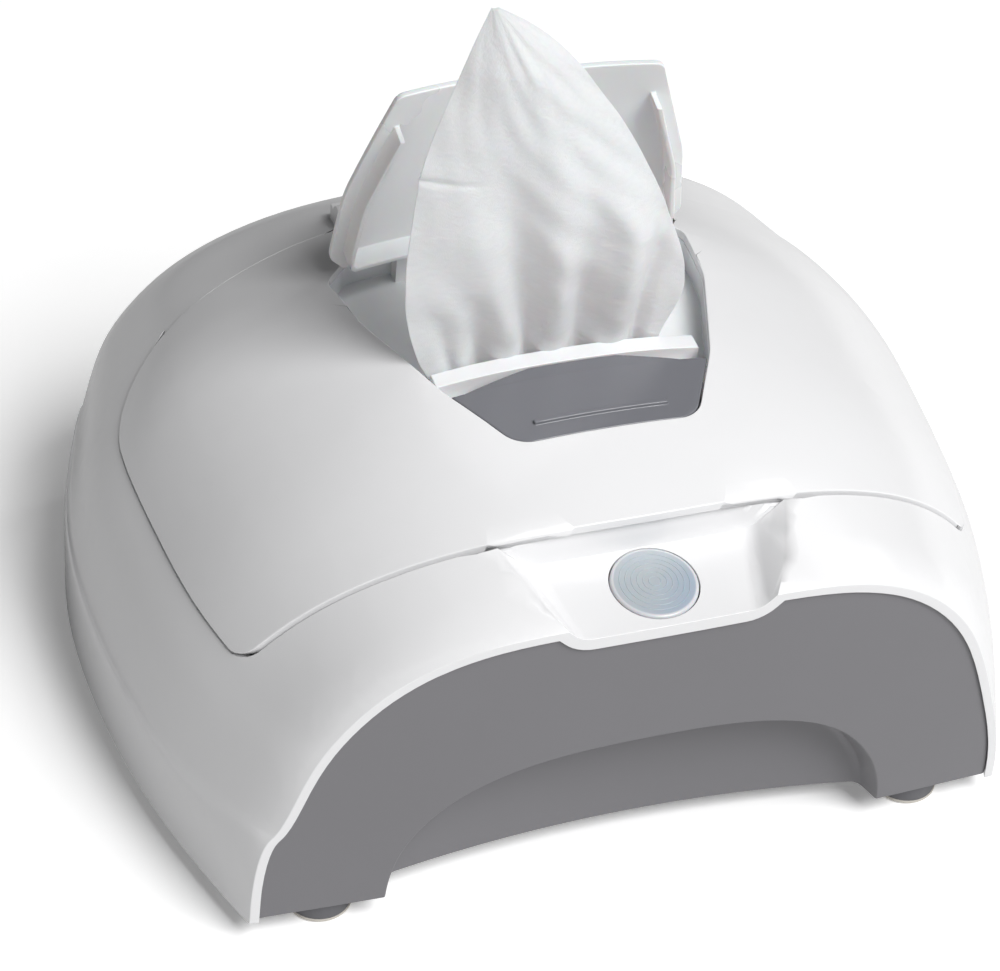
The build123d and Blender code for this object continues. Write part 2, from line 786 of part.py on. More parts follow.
def make_lid_liner():
    """Inner lid moulding that closes the chamber."""
    inner = liner_wall
    with BuildPart() as lid_liner:
        add(round_box(liner_half_x, liner_front_y, liner_rear_y, liner_corner, liner_foot_z, form_ceiling))
        add(arch_form(liner_depth, base_z), mode=Mode.INTERSECT)
        add(
            round_box(liner_half_x - inner, liner_front_y + inner, liner_rear_y - inner, liner_corner - inner,
                      liner_foot_z - 1, form_ceiling) & arch_form(liner_depth + inner, base_z),
            mode=Mode.SUBTRACT,
        )
        add(
            round_box(liner_half_x + liner_foot_outset, liner_front_y - liner_foot_outset,
                      liner_rear_y + liner_foot_outset, liner_corner + liner_foot_outset,
                      liner_foot_z, liner_foot_z + liner_wall)
            - round_box(liner_half_x - inner, liner_front_y + inner, liner_rear_y - inner, liner_corner - inner,
                        liner_foot_z - 1, liner_foot_z + 5)
        )
        pads = BuildPart(mode=Mode.PRIVATE)
        with pads:
            for x, y in liner_post_places:
                with Locations((x, y, liner_pad_z)):
                    Cylinder(liner_post_radius + 1.4, 30, align=(Align.CENTER, Align.CENTER, Align.MIN))
        add(pads.part & arch_form(liner_depth, base_z))
        for x, y in liner_post_places:
            with Locations((x, y, liner_pad_z)):
                Cylinder(screw_radius + 0.2, 70, mode=Mode.SUBTRACT)
        add(slab(liner_slot_half_x, liner_slot_front_y, liner_slot_rear_y, seam_z + 10, form_ceiling),
            mode=Mode.SUBTRACT)
    return lid_liner.part


def make_liner_screws():
    """Four screws that hold the liner to the lid."""
    with BuildPart() as liner_screws:
        for x, y in liner_post_places:
            with Locations((x, y, liner_pad_z)):
                Cylinder(screw_radius, screw_length, align=(Align.CENTER, Align.CENTER, Align.MIN))
                Cylinder(screw_head_radius, screw_head_height, align=(Align.CENTER, Align.CENTER, Align.MAX))
    return liner_screws.part


def make_lid_seal():
    """Soft ring under the liner foot, just above the tub flange."""
    out = liner_foot_outset - 0.6
    back = out - seal_width
    low = well_floor_z + tub_wall + seal_clear
    return round_box(
        liner_half_x + out, liner_front_y - out, liner_rear_y + out, liner_corner + out, low, liner_foot_z
    ) - round_box(
        liner_half_x + back, liner_front_y - back, liner_rear_y + back, liner_corner + back, low - 1, liner_foot_z + 1
    )


def make_tray():
    """Dished tray under the cap with slot, pivot posts and cap lugs."""
    with BuildPart() as dispensing_tray:
        add(opening_prism(-tray_wall))
        add(arch_form(tray_top_inset, base_z), mode=Mode.INTERSECT)
        flange = (opening_prism(-tray_flange) & arch_form(tray_top_inset, base_z)) - arch_form(
            tray_top_inset + tray_wall, base_z
        )
        add(arch_form(tray_depth + tray_wall, base_z), mode=Mode.SUBTRACT)
        add(flange)
        add(opening_prism(0) - arch_form(tray_depth, base_z), mode=Mode.SUBTRACT)
        fittings = BuildPart(mode=Mode.PRIVATE)
        with fittings:
            add(slab(slot_half_x, slot_lip_front_y, slot_front_y, seam_z, form_ceiling))
            add(arch_form(slot_lip_inset, base_z), mode=Mode.INTERSECT)
            for side in (1, -1):
                with Locations((side * (tab_ear_outer_x + 0.3 + tab_post_outer_x) / 2, tab_axis_y, tray_low_z)):
                    Box(tab_post_outer_x - tab_ear_outer_x - 0.3, 4, tab_axis_z + 1.8 - tray_low_z,
                        align=(Align.CENTER, Align.CENTER, Align.MIN))
                with Locations((side * (cap_lug_inner_x + cap_lug_outer_x) / 2, cap_axis_y, tray_low_z)):
                    Box(cap_lug_outer_x - cap_lug_inner_x, 2 * cap_eye_radius,
                        cap_axis_z + cap_lug_snap_rise - tray_low_z,
                        align=(Align.CENTER, Align.CENTER, Align.MIN))
        add(fittings.part - arch_form(tray_depth + tray_wall, base_z))
        add(slab(slot_half_x, slot_front_y, slot_rear_y, seam_z, form_ceiling), mode=Mode.SUBTRACT)
        add(round_bar(-cap_pin_half - 0.2, cap_pin_half + 0.2, cap_axis_y, cap_axis_z, cap_pin_radius + cap_pin_gap),
            mode=Mode.SUBTRACT)
        add(round_bar(-tab_post_outer_x, tab_post_outer_x, tab_axis_y, tab_axis_z, tab_pin_radius + tab_pin_gap),
            mode=Mode.SUBTRACT)
    return dispensing_tray.part


def make_flip_cap():
    """Clear cap with a skirt and hinge eyes, turned to its open position."""
    with BuildPart() as closed:
        add(opening_prism(opening_gap))
        add(slab(bow_reach, cap_front_y, cap_rear_y, seam_z, form_ceiling), mode=Mode.INTERSECT)
        upright = closed.edges().filter_by(Axis.Z).group_by(Axis.Y)[0]
        fillet(upright, radius=3)
        add(arch_form(-lid_stand_proud, base_z), mode=Mode.INTERSECT)
        add(arch_form(cap_wall - lid_stand_proud, base_z), mode=Mode.SUBTRACT)
        skirt_out = opening_gap + cap_skirt_inset
        skirt = (opening_prism(skirt_out) - opening_prism(skirt_out + cap_skirt_wall)) & slab(
            bow_reach, cap_skirt_front_y, cap_skirt_rear_y, seam_z, form_ceiling
        )
        back_wall = slab(
            cap_skirt_back_half, cap_skirt_rear_y - cap_skirt_wall, cap_skirt_rear_y, seam_z, form_ceiling
        )
        rim = (skirt + back_wall) & arch_form(0.5, base_z)
        add(rim - arch_form(cap_skirt_depth, base_z))
        for side in (1, -1):
            ends = sorted((side * cap_eye_inner_x, side * cap_eye_outer_x))
            add(round_bar(ends[0], ends[1], cap_axis_y, cap_axis_z, cap_eye_radius))
            with Locations(((ends[0] + ends[1]) / 2, cap_axis_y - cap_eye_radius / 2 - 1, cap_axis_z)):
                Box(ends[1] - ends[0], cap_eye_radius + 2, 1.6, align=(Align.CENTER, Align.CENTER, Align.MIN))
            with Locations((side * (cap_lug_inner_x + cap_lug_outer_x) / 2, cap_axis_y, cap_axis_z)):
                Box(cap_lug_outer_x - cap_lug_inner_x + 2 * cap_notch_gap, 2 * (cap_eye_radius + cap_notch_gap), 20,
                    mode=Mode.SUBTRACT)
        add(round_bar(-cap_pin_half, cap_pin_half, cap_axis_y, cap_axis_z, cap_pin_radius + cap_pin_gap),
            mode=Mode.SUBTRACT)
    return closed.part.rotate(Axis((0, cap_axis_y, cap_axis_z), (-1, 0, 0)), cap_open_angle)


def make_cap_pin():
    """Steel pin of the cap hinge."""
    return round_bar(-cap_pin_half, cap_pin_half, cap_axis_y, cap_axis_z, cap_pin_radius)


def make_release_tab():
    """Press tab with a stepped rear ledge, grip rib and pivot ears."""
    with BuildPart() as release_tab:
        add(opening_prism(tab_gap))
        with BuildSketch():
            with BuildLine():
                Polyline(*tab_rear_corners, *[(-x, y) for x, y in reversed(tab_rear_corners)], close=True)
            make_face()
        extrude(amount=form_ceiling, mode=Mode.INTERSECT)
        ledge = release_tab.part & slab(bow_reach, tab_ledge_y, 0, seam_z, form_ceiling)
        add(arch_form(0, base_z), mode=Mode.INTERSECT)
        add(arch_form(tab_thickness, base_z) & slab(bow_reach, -60, tab_ledge_y - tab_thickness, 0, form_ceiling),
            mode=Mode.SUBTRACT)
        add(slab(bow_reach, tab_ledge_y, 0, 0, form_ceiling), mode=Mode.SUBTRACT)
        add(ledge & arch_form(tab_ledge_drop, base_z))
        add(arch_form(tab_ledge_drop + tab_thickness, base_z), mode=Mode.SUBTRACT)
        ears = BuildPart(mode=Mode.PRIVATE)
        with ears:
            for side in (1, -1):
                with Locations((side * (tab_ear_inner_x + tab_ear_outer_x) / 2, tab_axis_y, tab_axis_z - 1.6)):
                    Box(tab_ear_outer_x - tab_ear_inner_x, 3.6, 12, align=(Align.CENTER, Align.CENTER, Align.MIN))
                ends = sorted((side * tab_ear_inner_x, side * (tab_post_outer_x - 0.3)))
                add(round_bar(ends[0], ends[1], tab_axis_y, tab_axis_z, tab_pin_radius))
            with Locations((0, tab_grip_y, seam_z)):
                Box(2 * tab_grip_half_x, 1.4, form_ceiling - seam_z, align=(Align.CENTER, Align.CENTER, Align.MIN))
        grip = ears.part & slab(tab_grip_half_x, tab_grip_y - 1, tab_grip_y + 1, seam_z, form_ceiling)
        add((ears.part - slab(tab_grip_half_x, tab_grip_y - 1, tab_grip_y + 1, 0, form_ceiling))
            & arch_form(0.5, base_z))
        add((grip & arch_form(-tab_grip_height, base_z)) - arch_form(0.5, base_z))
    return release_tab.part


def make_tab_spring():
    """Small coil spring that lifts the tab."""
    with BuildPart() as tab_spring:
        with BuildLine():
            coil = Helix(pitch=tab_spring_pitch, height=tab_spring_height, radius=tab_spring_radius,
                         center=(0, tab_spring_y, tab_spring_z))
        with BuildSketch(Plane(origin=coil @ 0, z_dir=coil % 0)):
            Circle(tab_spring_wire / 2)
        sweep(path=coil, is_frenet=True)
    return tab_spring.part


def make_light_lens():
    """Round lens of the night light, also its push button."""
    with BuildPart() as light_lens:
        with BuildSketch(shelf_frame(-lens_rise)):
            Circle(lens_radius)
        extrude(amount=-lens_thickness)
        fillet(light_lens.edges().sort_by(Axis.Z)[-1], radius=0.8)
        with BuildSketch(shelf_frame(lens_thickness - lens_rise)):
            Circle(lens_skirt_radius)
            Circle(lens_skirt_radius - lens_skirt_wall, mode=Mode.SUBTRACT)
        extrude(amount=-lens_skirt_depth)
        with BuildSketch(shelf_frame(lens_thickness - lens_rise)):
            Circle(lens_stem_radius)
        extrude(amount=lens_thickness - lens_rise - lens_stem_end)
    return light_lens.part


def make_light_holder():
    """Guide ring and carrier under the shelf for the light board."""
    ring_inner = lens_skirt_radius + holder_ring_gap
    with BuildPart() as light_holder:
        with BuildSketch(shelf_frame(holder_floor)):
            RectangleRounded(2 * holder_half_x, holder_front + holder_rear, 3)
        extrude(amount=-holder_plate)
        with BuildSketch(shelf_frame(holder_floor)):
            Circle(ring_inner + holder_ring_wall)
            Circle(ring_inner, mode=Mode.SUBTRACT)
        extrude(amount=holder_floor - (lens_thickness - lens_rise) - lens_travel_gap)
        with BuildSketch(shelf_frame(holder_floor)):
            with Locations((-holder_post_x, 0), (holder_post_x, 0)):
                Circle(holder_post_radius)
        extrude(amount=holder_floor - shell_wall)
    return light_holder.part


def make_light_board():
    """Small round board under the lens."""
    with BuildPart() as light_board:
        with BuildSketch(shelf_frame(holder_floor)):
            Circle(lens_skirt_radius)
        extrude(amount=board_thickness)
    return light_board.part


def make_light_switch():
    """Push switch at the middle of the light board."""
    with BuildPart() as light_switch:
        with BuildSketch(shelf_frame(holder_floor - board_thickness)):
            Rectangle(switch_size, switch_size)
        extrude(amount=switch_height - 1)
        with BuildSketch(shelf_frame(holder_floor - board_thickness)):
            Circle(switch_size / 3)
        extrude(amount=switch_height)
    return light_switch.part


def make_light_leds():
    """Three light emitting diodes round the switch."""
    with BuildPart() as light_leds:
        with BuildSketch(shelf_frame(holder_floor - board_thickness)):
            with PolarLocations(led_circle, 3, start_angle=90):
                Rectangle(led_size, led_size)
        extrude(amount=led_height)
    return light_leds.part


def make_wipe():
    """One wipe fanned up out of the slot, with its tail below."""
    with BuildPart() as wipe:
        with BuildSketch(Plane(origin=(0, wipe_y, 0), x_dir=(1, 0, 0), z_dir=(0, -1, 0))):
            with BuildLine():
                Line((-wipe_tail_half, wipe_tail_z), (wipe_tail_half, wipe_tail_z))
                Line((wipe_tail_half, wipe_tail_z), wipe_right_edge[0])
                Spline(*wipe_right_edge)
                Line(wipe_right_edge[-1], wipe_left_edge[-1])
                Spline(*wipe_left_edge)
                Line(wipe_left_edge[0], (-wipe_tail_half, wipe_tail_z))
            make_face()
        extrude(amount=wipe_thickness / 2, both=True)
    return wipe.part


save(make_body_shell(), "body_shell")
save(make_front_panel(), "front_panel")
save(make_base_plate(), "base_plate")
save(make_foot_pads(), "foot_pads")
save(make_base_screws(), "base_screws")
save(make_wipe_tub(), "wipe_tub")
save(make_heater_plate(), "heater_plate")
save(make_heater_film(), "heater_film")
save(make_thermostat(), "thermostat")
save(make_control_board(), "control_board")
save(make_board_components(), "board_components")
save(make_board_screws(), "board_screws")
save(make_dc_jack(), "dc_jack")
save(make_hinge_pins(), "lid_hinge_pins")
save(make_light_holder(), "light_holder")
save(make_light_board(), "light_board")
save(make_light_switch(), "light_switch")
save(make_light_leds(), "light_leds")
save(make_light_lens(), "light_lens")
save(make_lid_shell(), "lid_shell")
save(make_lid_liner(), "lid_liner")
save(make_liner_screws(), "liner_screws")
save(make_lid_seal(), "lid_seal")
save(make_tray(), "dispensing_tray")
save(make_flip_cap(), "flip_cap")
save(make_cap_pin(), "cap_pin")
save(make_release_tab(), "release_tab")
save(make_tab_spring(), "tab_spring")
save(make_wipe(), "wipe")
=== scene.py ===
"""Baby wipe warmer with its flip cap open and one wipe drawn up, dressed around the CAD frame.

Sizes in this file are in millimetres and are turned to metres where a mesh is written.
"""

import logging
import math
from dataclasses import dataclass, field
from enum import Enum
from typing import Callable, Sequence

import bmesh
import bpy
import numpy as np
from mathutils import Matrix, Vector


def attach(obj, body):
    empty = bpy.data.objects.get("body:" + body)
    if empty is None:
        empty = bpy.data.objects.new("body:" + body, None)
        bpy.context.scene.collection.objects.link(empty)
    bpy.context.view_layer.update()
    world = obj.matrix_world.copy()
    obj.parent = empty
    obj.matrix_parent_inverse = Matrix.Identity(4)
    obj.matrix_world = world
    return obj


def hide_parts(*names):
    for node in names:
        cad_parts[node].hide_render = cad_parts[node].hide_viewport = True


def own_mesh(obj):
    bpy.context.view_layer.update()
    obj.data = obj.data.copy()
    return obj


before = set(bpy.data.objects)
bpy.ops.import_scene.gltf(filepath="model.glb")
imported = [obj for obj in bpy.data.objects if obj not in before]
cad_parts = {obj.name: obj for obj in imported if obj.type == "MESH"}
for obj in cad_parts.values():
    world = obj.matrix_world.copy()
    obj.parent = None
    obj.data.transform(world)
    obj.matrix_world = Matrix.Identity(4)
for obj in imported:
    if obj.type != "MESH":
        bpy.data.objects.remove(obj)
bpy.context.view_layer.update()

LOG = logging.getLogger("wipe_warmer")
MM = 0.001
IMAGE_WIDTH = 1000
Points = np.ndarray


class Body(Enum):
    """Bodies of the frame that pieces ride on."""

    BASE = "base"
    LIGHT_BUTTON = "light_button"
    LID = "lid"
    CAP = "cap"
    TAB = "tab"


# ---------------------------------------------------------------- materials


def linear_colour(code: str) -> tuple[float, float, float, float]:
    """Turn an sRGB hex value to linear.

    Args:
        code: Six hex digits, with or without a leading hash.

    Returns:
        Linear red, green, blue and an alpha of one.
    """
    digits = code.lstrip("#")
    channels = [int(digits[start:start + 2], 16) / 255 for start in (0, 2, 4)]
    linear = [c / 12.92 if c <= 0.04045 else ((c + 0.055) / 1.055) ** 2.4 for c in channels]
    return (*linear, 1.0)


def add_node(
    tree: bpy.types.NodeTree,
    kind: str,
    settings: dict[str, object] | None = None,
    inputs: dict[str | int, object] | None = None,
) -> bpy.types.Node:
    """Add one node with its settings, values and links.

    Args:
        tree: Node tree that gets the node.
        kind: Blender's name for the node type.
        settings: Properties of the node.
        inputs: Values or output sockets by input name or index.

    Returns:
        The new node.
    """
    node = tree.nodes.new(kind)
    for name, value in (settings or {}).items():
        setattr(node, name, value)
    for key, value in (inputs or {}).items():
        if isinstance(value, bpy.types.NodeSocket):
            tree.links.new(value, node.inputs[key])
        else:
            node.inputs[key].default_value = value
    return node


def fresh_material(name: str) -> tuple[bpy.types.Material, bpy.types.NodeTree]:
    """Make a material with an empty node tree."""
    material = bpy.data.materials.new(name)
    material.use_nodes = True
    material.node_tree.nodes.clear()
    return material, material.node_tree


@dataclass(frozen=True)
class Finish:
    """A real material and how its surface was made."""

    name: str
    colour: str
    shade: str
    roughness: float
    roughness_swing: float = 0.03
    metallic: float = 0.0
    ior: float = 1.5
    coat: float = 0.0
    transmission: float = 0.0
    subsurface: float = 0.0
    subsurface_mm: float = 1.0
    sheen: float = 0.0
    tone_mm: float = 40.0
    grain_mm: float = 0.8
    grain_depth_mm: float = 0.01
    grain_stretch: tuple[float, float, float] = (1.0, 1.0, 1.0)

    def build(self) -> bpy.types.Material:
        """Return the material, made once and then shared."""
        found = bpy.data.materials.get(self.name)
        if found is not None:
            return found
        material, tree = fresh_material(self.name)
        place = add_node(tree, "ShaderNodeTexCoord").outputs["Object"]
        tone = add_node(tree, "ShaderNodeTexNoise", inputs={
            "Vector": place, "Scale": 1 / (self.tone_mm * MM), "Detail": 3.0, "Roughness": 0.5})
        colour = add_node(tree, "ShaderNodeMix", {"data_type": "RGBA"}, {
            "Factor": tone.outputs["Fac"], "A": linear_colour(self.colour), "B": linear_colour(self.shade)})
        gloss = add_node(tree, "ShaderNodeMapRange", inputs={
            "Value": tone.outputs["Fac"], "From Min": 0.3, "From Max": 0.7,
            "To Min": self.roughness - self.roughness_swing, "To Max": self.roughness + self.roughness_swing})
        stretched = add_node(tree, "ShaderNodeMapping", inputs={"Vector": place, "Scale": self.grain_stretch})
        grain = add_node(tree, "ShaderNodeTexNoise", inputs={
            "Vector": stretched.outputs["Vector"], "Scale": 1 / (self.grain_mm * MM), "Detail": 2.0})
        bump = add_node(tree, "ShaderNodeBump", inputs={
            "Height": grain.outputs["Fac"], "Distance": self.grain_depth_mm * MM, "Strength": 1.0})
        surface = add_node(tree, "ShaderNodeBsdfPrincipled", inputs={
            "Base Color": colour.outputs["Result"], "Roughness": gloss.outputs["Result"],
            "Normal": bump.outputs["Normal"], "Metallic": self.metallic, "IOR": self.ior,
            "Coat Weight": self.coat, "Transmission Weight": self.transmission,
            "Subsurface Weight": self.subsurface, "Subsurface Scale": self.subsurface_mm * MM,
            "Sheen Weight": self.sheen})
        add_node(tree, "ShaderNodeOutputMaterial", inputs={"Surface": surface.outputs["BSDF"]})
        return material


# High-gloss injection-moulded ABS: bright, even, with a hint of flow ripple in its reflections.
GLOSS_WHITE_ABS = Finish("abs_moulded_gloss_white", "#F1F1F2", "#EDEDEE", 0.2, 0.02, ior=1.54,
                         tone_mm=120, grain_mm=9.0, grain_depth_mm=0.02)
# Satin ABS: the mould was spark-textured very finely, so highlights spread.
SATIN_GREY_ABS = Finish("abs_moulded_satin_grey", "#7B7A7E", "#777679", 0.36, 0.03, ior=1.54,
                        tone_mm=60, grain_mm=0.6, grain_depth_mm=0.004)
# The same grey in a glossier mould, for the press tab.
SEMI_GLOSS_GREY_ABS = Finish("abs_moulded_semigloss_grey", "#78797F", "#737479", 0.24, 0.03, ior=1.54,
                             tone_mm=30, grain_mm=0.7, grain_depth_mm=0.003)
# Rough-textured ABS on the underside.
TEXTURED_GREY_ABS = Finish("abs_moulded_textured_grey", "#6A6A6E", "#646468", 0.55, 0.05, ior=1.54,
                           tone_mm=30, grain_mm=0.9, grain_depth_mm=0.03)
# Natural polypropylene rubbed to frosted: milky and half clear.
FROSTED_CLEAR_PP = Finish("polypropylene_frosted_clear", "#FCFCFD", "#F8F9FA", 0.3, 0.04, ior=1.49,
                          transmission=0.12, subsurface=0.3, subsurface_mm=4.0, tone_mm=25, grain_mm=0.9,
                          grain_depth_mm=0.008)
# Pale polypropylene, polished mould.
GLOSS_PALE_PP = Finish("polypropylene_moulded_gloss_pale", "#F3F4F5", "#ECEDEF", 0.2, 0.03, ior=1.49,
                       subsurface=0.2, subsurface_mm=3.0, tone_mm=30, grain_mm=5.0, grain_depth_mm=0.01)
# White polypropylene of the chamber parts, slightly waxy.
SATIN_WHITE_PP = Finish("polypropylene_moulded_satin_white", "#E9E9EA", "#E3E3E4", 0.35, 0.04, ior=1.49,
                        subsurface=0.08, tone_mm=50, grain_mm=1.0, grain_depth_mm=0.01)
# Natural rubber pads: matt, a little warm.
PALE_RUBBER = Finish("rubber_moulded_pale", "#D9D4CC", "#CFCAC1", 0.75, 0.05, ior=1.52,
                     tone_mm=8, grain_mm=0.4, grain_depth_mm=0.02)
# Soft silicone gasket: matt and slightly see-through.
PALE_SILICONE = Finish("silicone_moulded_pale", "#E0E1E1", "#D6D7D7", 0.55, 0.05, ior=1.41,
                       subsurface=0.2, tone_mm=10, grain_mm=0.5, grain_depth_mm=0.01)
# Zinc-plated screws: soft grey shine.
ZINC_PLATED_STEEL = Finish("steel_zinc_plated", "#B9BBBF", "#A8AAAE", 0.34, 0.06, metallic=1.0,
                           tone_mm=3, grain_mm=0.3, grain_depth_mm=0.004)
# Drawn wire and pins: bright, with fine lines along their length.
DRAWN_STAINLESS_STEEL = Finish("stainless_steel_drawn", "#C9CACC", "#BABBBE", 0.22, 0.05, metallic=1.0,
                               tone_mm=4, grain_mm=0.4, grain_depth_mm=0.003, grain_stretch=(0.05, 1, 1))
# Rolled aluminium plate: fine lines along the rolling direction.
ROLLED_ALUMINIUM = Finish("aluminium_rolled", "#D0D2D4", "#C2C4C7", 0.33, 0.05, metallic=1.0,
                          tone_mm=20, grain_mm=0.5, grain_depth_mm=0.004, grain_stretch=(0.04, 1, 1))
# Polyimide heating film: amber and glossy.
AMBER_POLYIMIDE = Finish("polyimide_film_amber", "#C0661C", "#AE5A17", 0.25, 0.04, coat=0.3,
                         tone_mm=12, grain_mm=1.2, grain_depth_mm=0.005)
# Printed circuit board under its green lacquer.
GREEN_SOLDER_MASK = Finish("circuit_board_green_lacquer", "#1F6B3C", "#195B33", 0.3, 0.05, coat=0.4,
                           tone_mm=6, grain_mm=0.6, grain_depth_mm=0.006)
# Black moulded nylon of sockets and switches.
BLACK_NYLON = Finish("nylon_moulded_black", "#1C1C1E", "#242426", 0.45, 0.06, ior=1.53,
                     tone_mm=5, grain_mm=0.4, grain_depth_mm=0.01)
# Clear cast epoxy of the diodes.
CLEAR_EPOXY = Finish("epoxy_cast_clear", "#F4F0DC", "#EEE9D0", 0.12, 0.02, ior=1.55,
                     transmission=0.5, tone_mm=2, grain_mm=0.5, grain_depth_mm=0.002)


@dataclass(frozen=True)
class LensFinish:
    """Opal polycarbonate lens: cool grey-blue in its middle, paler towards its edge, with painted shade
    making one side darker and bluer.
    """

    name: str = "polycarbonate_opal_blue_grey"
    centre_colour: str = "#C3CAD0"
    # Colour of the painted shade on one side of the lens.
    painted_shade_colour: str = "#B4C0CE"
    edge_colour: str = "#E2E4E8"
    edge_start_mm: float = 10.6
    edge_end_mm: float = 11.1
    # Side of the lens, in its own axes, that gets the painted shade.
    painted_shade_side: tuple[float, float, float] = (0.8, -0.6, 0.0)

    def build(self, to_lens: Matrix) -> bpy.types.Material:
        """Make the material.

        Args:
            to_lens: Turns a point of the frame to the lens's own axes, in metres.

        Returns:
            The lens material.
        """
        material, tree = fresh_material(self.name)
        place = add_node(tree, "ShaderNodeTexCoord").outputs["Object"]
        tilt = to_lens.to_euler()
        turned = add_node(tree, "ShaderNodeMapping", {"vector_type": "POINT"}, {
            "Vector": place, "Rotation": tuple(tilt), "Location": tuple(to_lens.translation)})
        flat = add_node(tree, "ShaderNodeVectorMath", {"operation": "MULTIPLY"}, {
            0: turned.outputs["Vector"], 1: (1.0, 1.0, 0.0)})
        reach = add_node(tree, "ShaderNodeVectorMath", {"operation": "LENGTH"}, {0: flat.outputs["Vector"]})
        # Painted shade: the colour darkens towards one fixed side of the lens.
        side = add_node(tree, "ShaderNodeVectorMath", {"operation": "DOT_PRODUCT"}, {
            0: turned.outputs["Vector"], 1: self.painted_shade_side})
        painted_shade_share = add_node(tree, "ShaderNodeMapRange", {"interpolation_type": "SMOOTHSTEP"}, {
            "Value": side.outputs["Value"], "From Min": -2 * MM, "From Max": 10 * MM})
        inner = add_node(tree, "ShaderNodeMix", {"data_type": "RGBA"}, {
            "Factor": painted_shade_share.outputs["Result"], "A": linear_colour(self.centre_colour),
            "B": linear_colour(self.painted_shade_colour)})
        rim = add_node(tree, "ShaderNodeMapRange", {"interpolation_type": "SMOOTHSTEP"}, {
            "Value": reach.outputs["Value"], "From Min": self.edge_start_mm * MM,
            "From Max": self.edge_end_mm * MM})
        colour = add_node(tree, "ShaderNodeMix", {"data_type": "RGBA"}, {
            "Factor": rim.outputs["Result"], "A": inner.outputs["Result"],
            "B": linear_colour(self.edge_colour)})
        surface = add_node(tree, "ShaderNodeBsdfPrincipled", inputs={
            "Base Color": colour.outputs["Result"], "Roughness": 0.28, "IOR": 1.58,
            "Transmission Weight": 0.12, "Subsurface Weight": 0.25, "Subsurface Scale": 1.5 * MM})
        add_node(tree, "ShaderNodeOutputMaterial", inputs={"Surface": surface.outputs["BSDF"]})
        return material


@dataclass(frozen=True)
class SpunlaceFinish:
    """Wet-laid spunlace cloth: matt white fibres with short wavy ridges across the sheet, with painted shade
    darkening the valleys between the ridges.
    """

    name: str = "spunlace_viscose_white"
    colour: str = "#F4F3F4"
    # Darker colour painted into the valleys between the ridges as shade.
    shade: str = "#EAE9EA"
    translucent_share: float = 0.35
    ridge_mm: float = 1.3
    fibre_mm: float = 0.5
    ridge_depth_mm: float = 0.16
    fibre_depth_mm: float = 0.06

    def build(self) -> bpy.types.Material:
        """Make the cloth material."""
        material, tree = fresh_material(self.name)
        place = add_node(tree, "ShaderNodeUVMap", {"uv_map": "cut"}).outputs["UV"]
        drift = add_node(tree, "ShaderNodeTexNoise", inputs={
            "Vector": place, "Scale": 1 / (9.0 * MM), "Detail": 2.0})
        bent = add_node(tree, "ShaderNodeVectorMath", {"operation": "MULTIPLY_ADD"}, {
            0: drift.outputs["Color"], 1: (3 * MM, 3 * MM, 0.0), 2: place})
        laid = add_node(tree, "ShaderNodeMapping", inputs={
            "Vector": bent.outputs["Vector"], "Rotation": (0.0, 0.0, -0.18), "Scale": (0.28, 1.0, 1.0)})
        ridges = add_node(tree, "ShaderNodeTexNoise", inputs={
            "Vector": laid.outputs["Vector"], "Scale": 1 / (self.ridge_mm * MM), "Detail": 1.5,
            "Roughness": 0.5})
        fibres = add_node(tree, "ShaderNodeTexNoise", inputs={
            "Vector": place, "Scale": 1 / (self.fibre_mm * MM), "Detail": 2.0})
        # Painted shade: where the ridges are low, in their valleys, the cloth gets the darker colour.
        colour = add_node(tree, "ShaderNodeMix", {"data_type": "RGBA"}, {
            "Factor": ridges.outputs["Fac"], "A": linear_colour(self.shade), "B": linear_colour(self.colour)})
        coarse = add_node(tree, "ShaderNodeBump", inputs={
            "Height": ridges.outputs["Fac"], "Distance": self.ridge_depth_mm * MM, "Strength": 1.0})
        fine = add_node(tree, "ShaderNodeBump", inputs={
            "Height": fibres.outputs["Fac"], "Distance": self.fibre_depth_mm * MM, "Strength": 1.0,
            "Normal": coarse.outputs["Normal"]})
        surface = add_node(tree, "ShaderNodeBsdfPrincipled", inputs={
            "Base Color": colour.outputs["Result"], "Roughness": 0.92, "Normal": fine.outputs["Normal"],
            "Subsurface Weight": 0.3, "Subsurface Scale": 1.5 * MM})
        through = add_node(tree, "ShaderNodeBsdfTranslucent", inputs={
            "Color": linear_colour(self.colour), "Normal": fine.outputs["Normal"]})
        cloth = add_node(tree, "ShaderNodeMixShader", inputs={
            0: self.translucent_share, 1: surface.outputs["BSDF"], 2: through.outputs["BSDF"]})
        add_node(tree, "ShaderNodeOutputMaterial", inputs={"Surface": cloth.outputs[0]})
        return material


# ---------------------------------------------------------------- the shelf and an easing curve


@dataclass(frozen=True)
class ShelfSkin:
    """The tilted flat floor of the finger scoop."""

    middle_y: float = -81.0
    middle_z: float = 98.0
    tilt: float = math.radians(6.0)

    def placing(self) -> Matrix:
        """Matrix from the shelf's own axes to the frame, in metres."""
        turn = Matrix.Rotation(self.tilt, 4, "X")
        return Matrix.Translation((0.0, self.middle_y * MM, self.middle_z * MM)) @ turn


SHELF = ShelfSkin()


def smooth_ramp(values: Points, start: float, end: float) -> Points:
    """Ease from zero at start to one at end."""
    share = np.clip((values - start) / (end - start), 0, 1)
    return share * share * (3 - 2 * share)


# ---------------------------------------------------------------- mesh work


def read_points(mesh: bpy.types.Mesh) -> Points:
    """Vertices of a mesh in millimetres."""
    flat = np.empty(len(mesh.vertices) * 3)
    mesh.vertices.foreach_get("co", flat)
    return flat.reshape(-1, 3) / MM


def write_points(mesh: bpy.types.Mesh, points: Points) -> None:
    """Put points in millimetres into a mesh."""
    mesh.vertices.foreach_set("co", (points * MM).ravel())
    mesh.update()


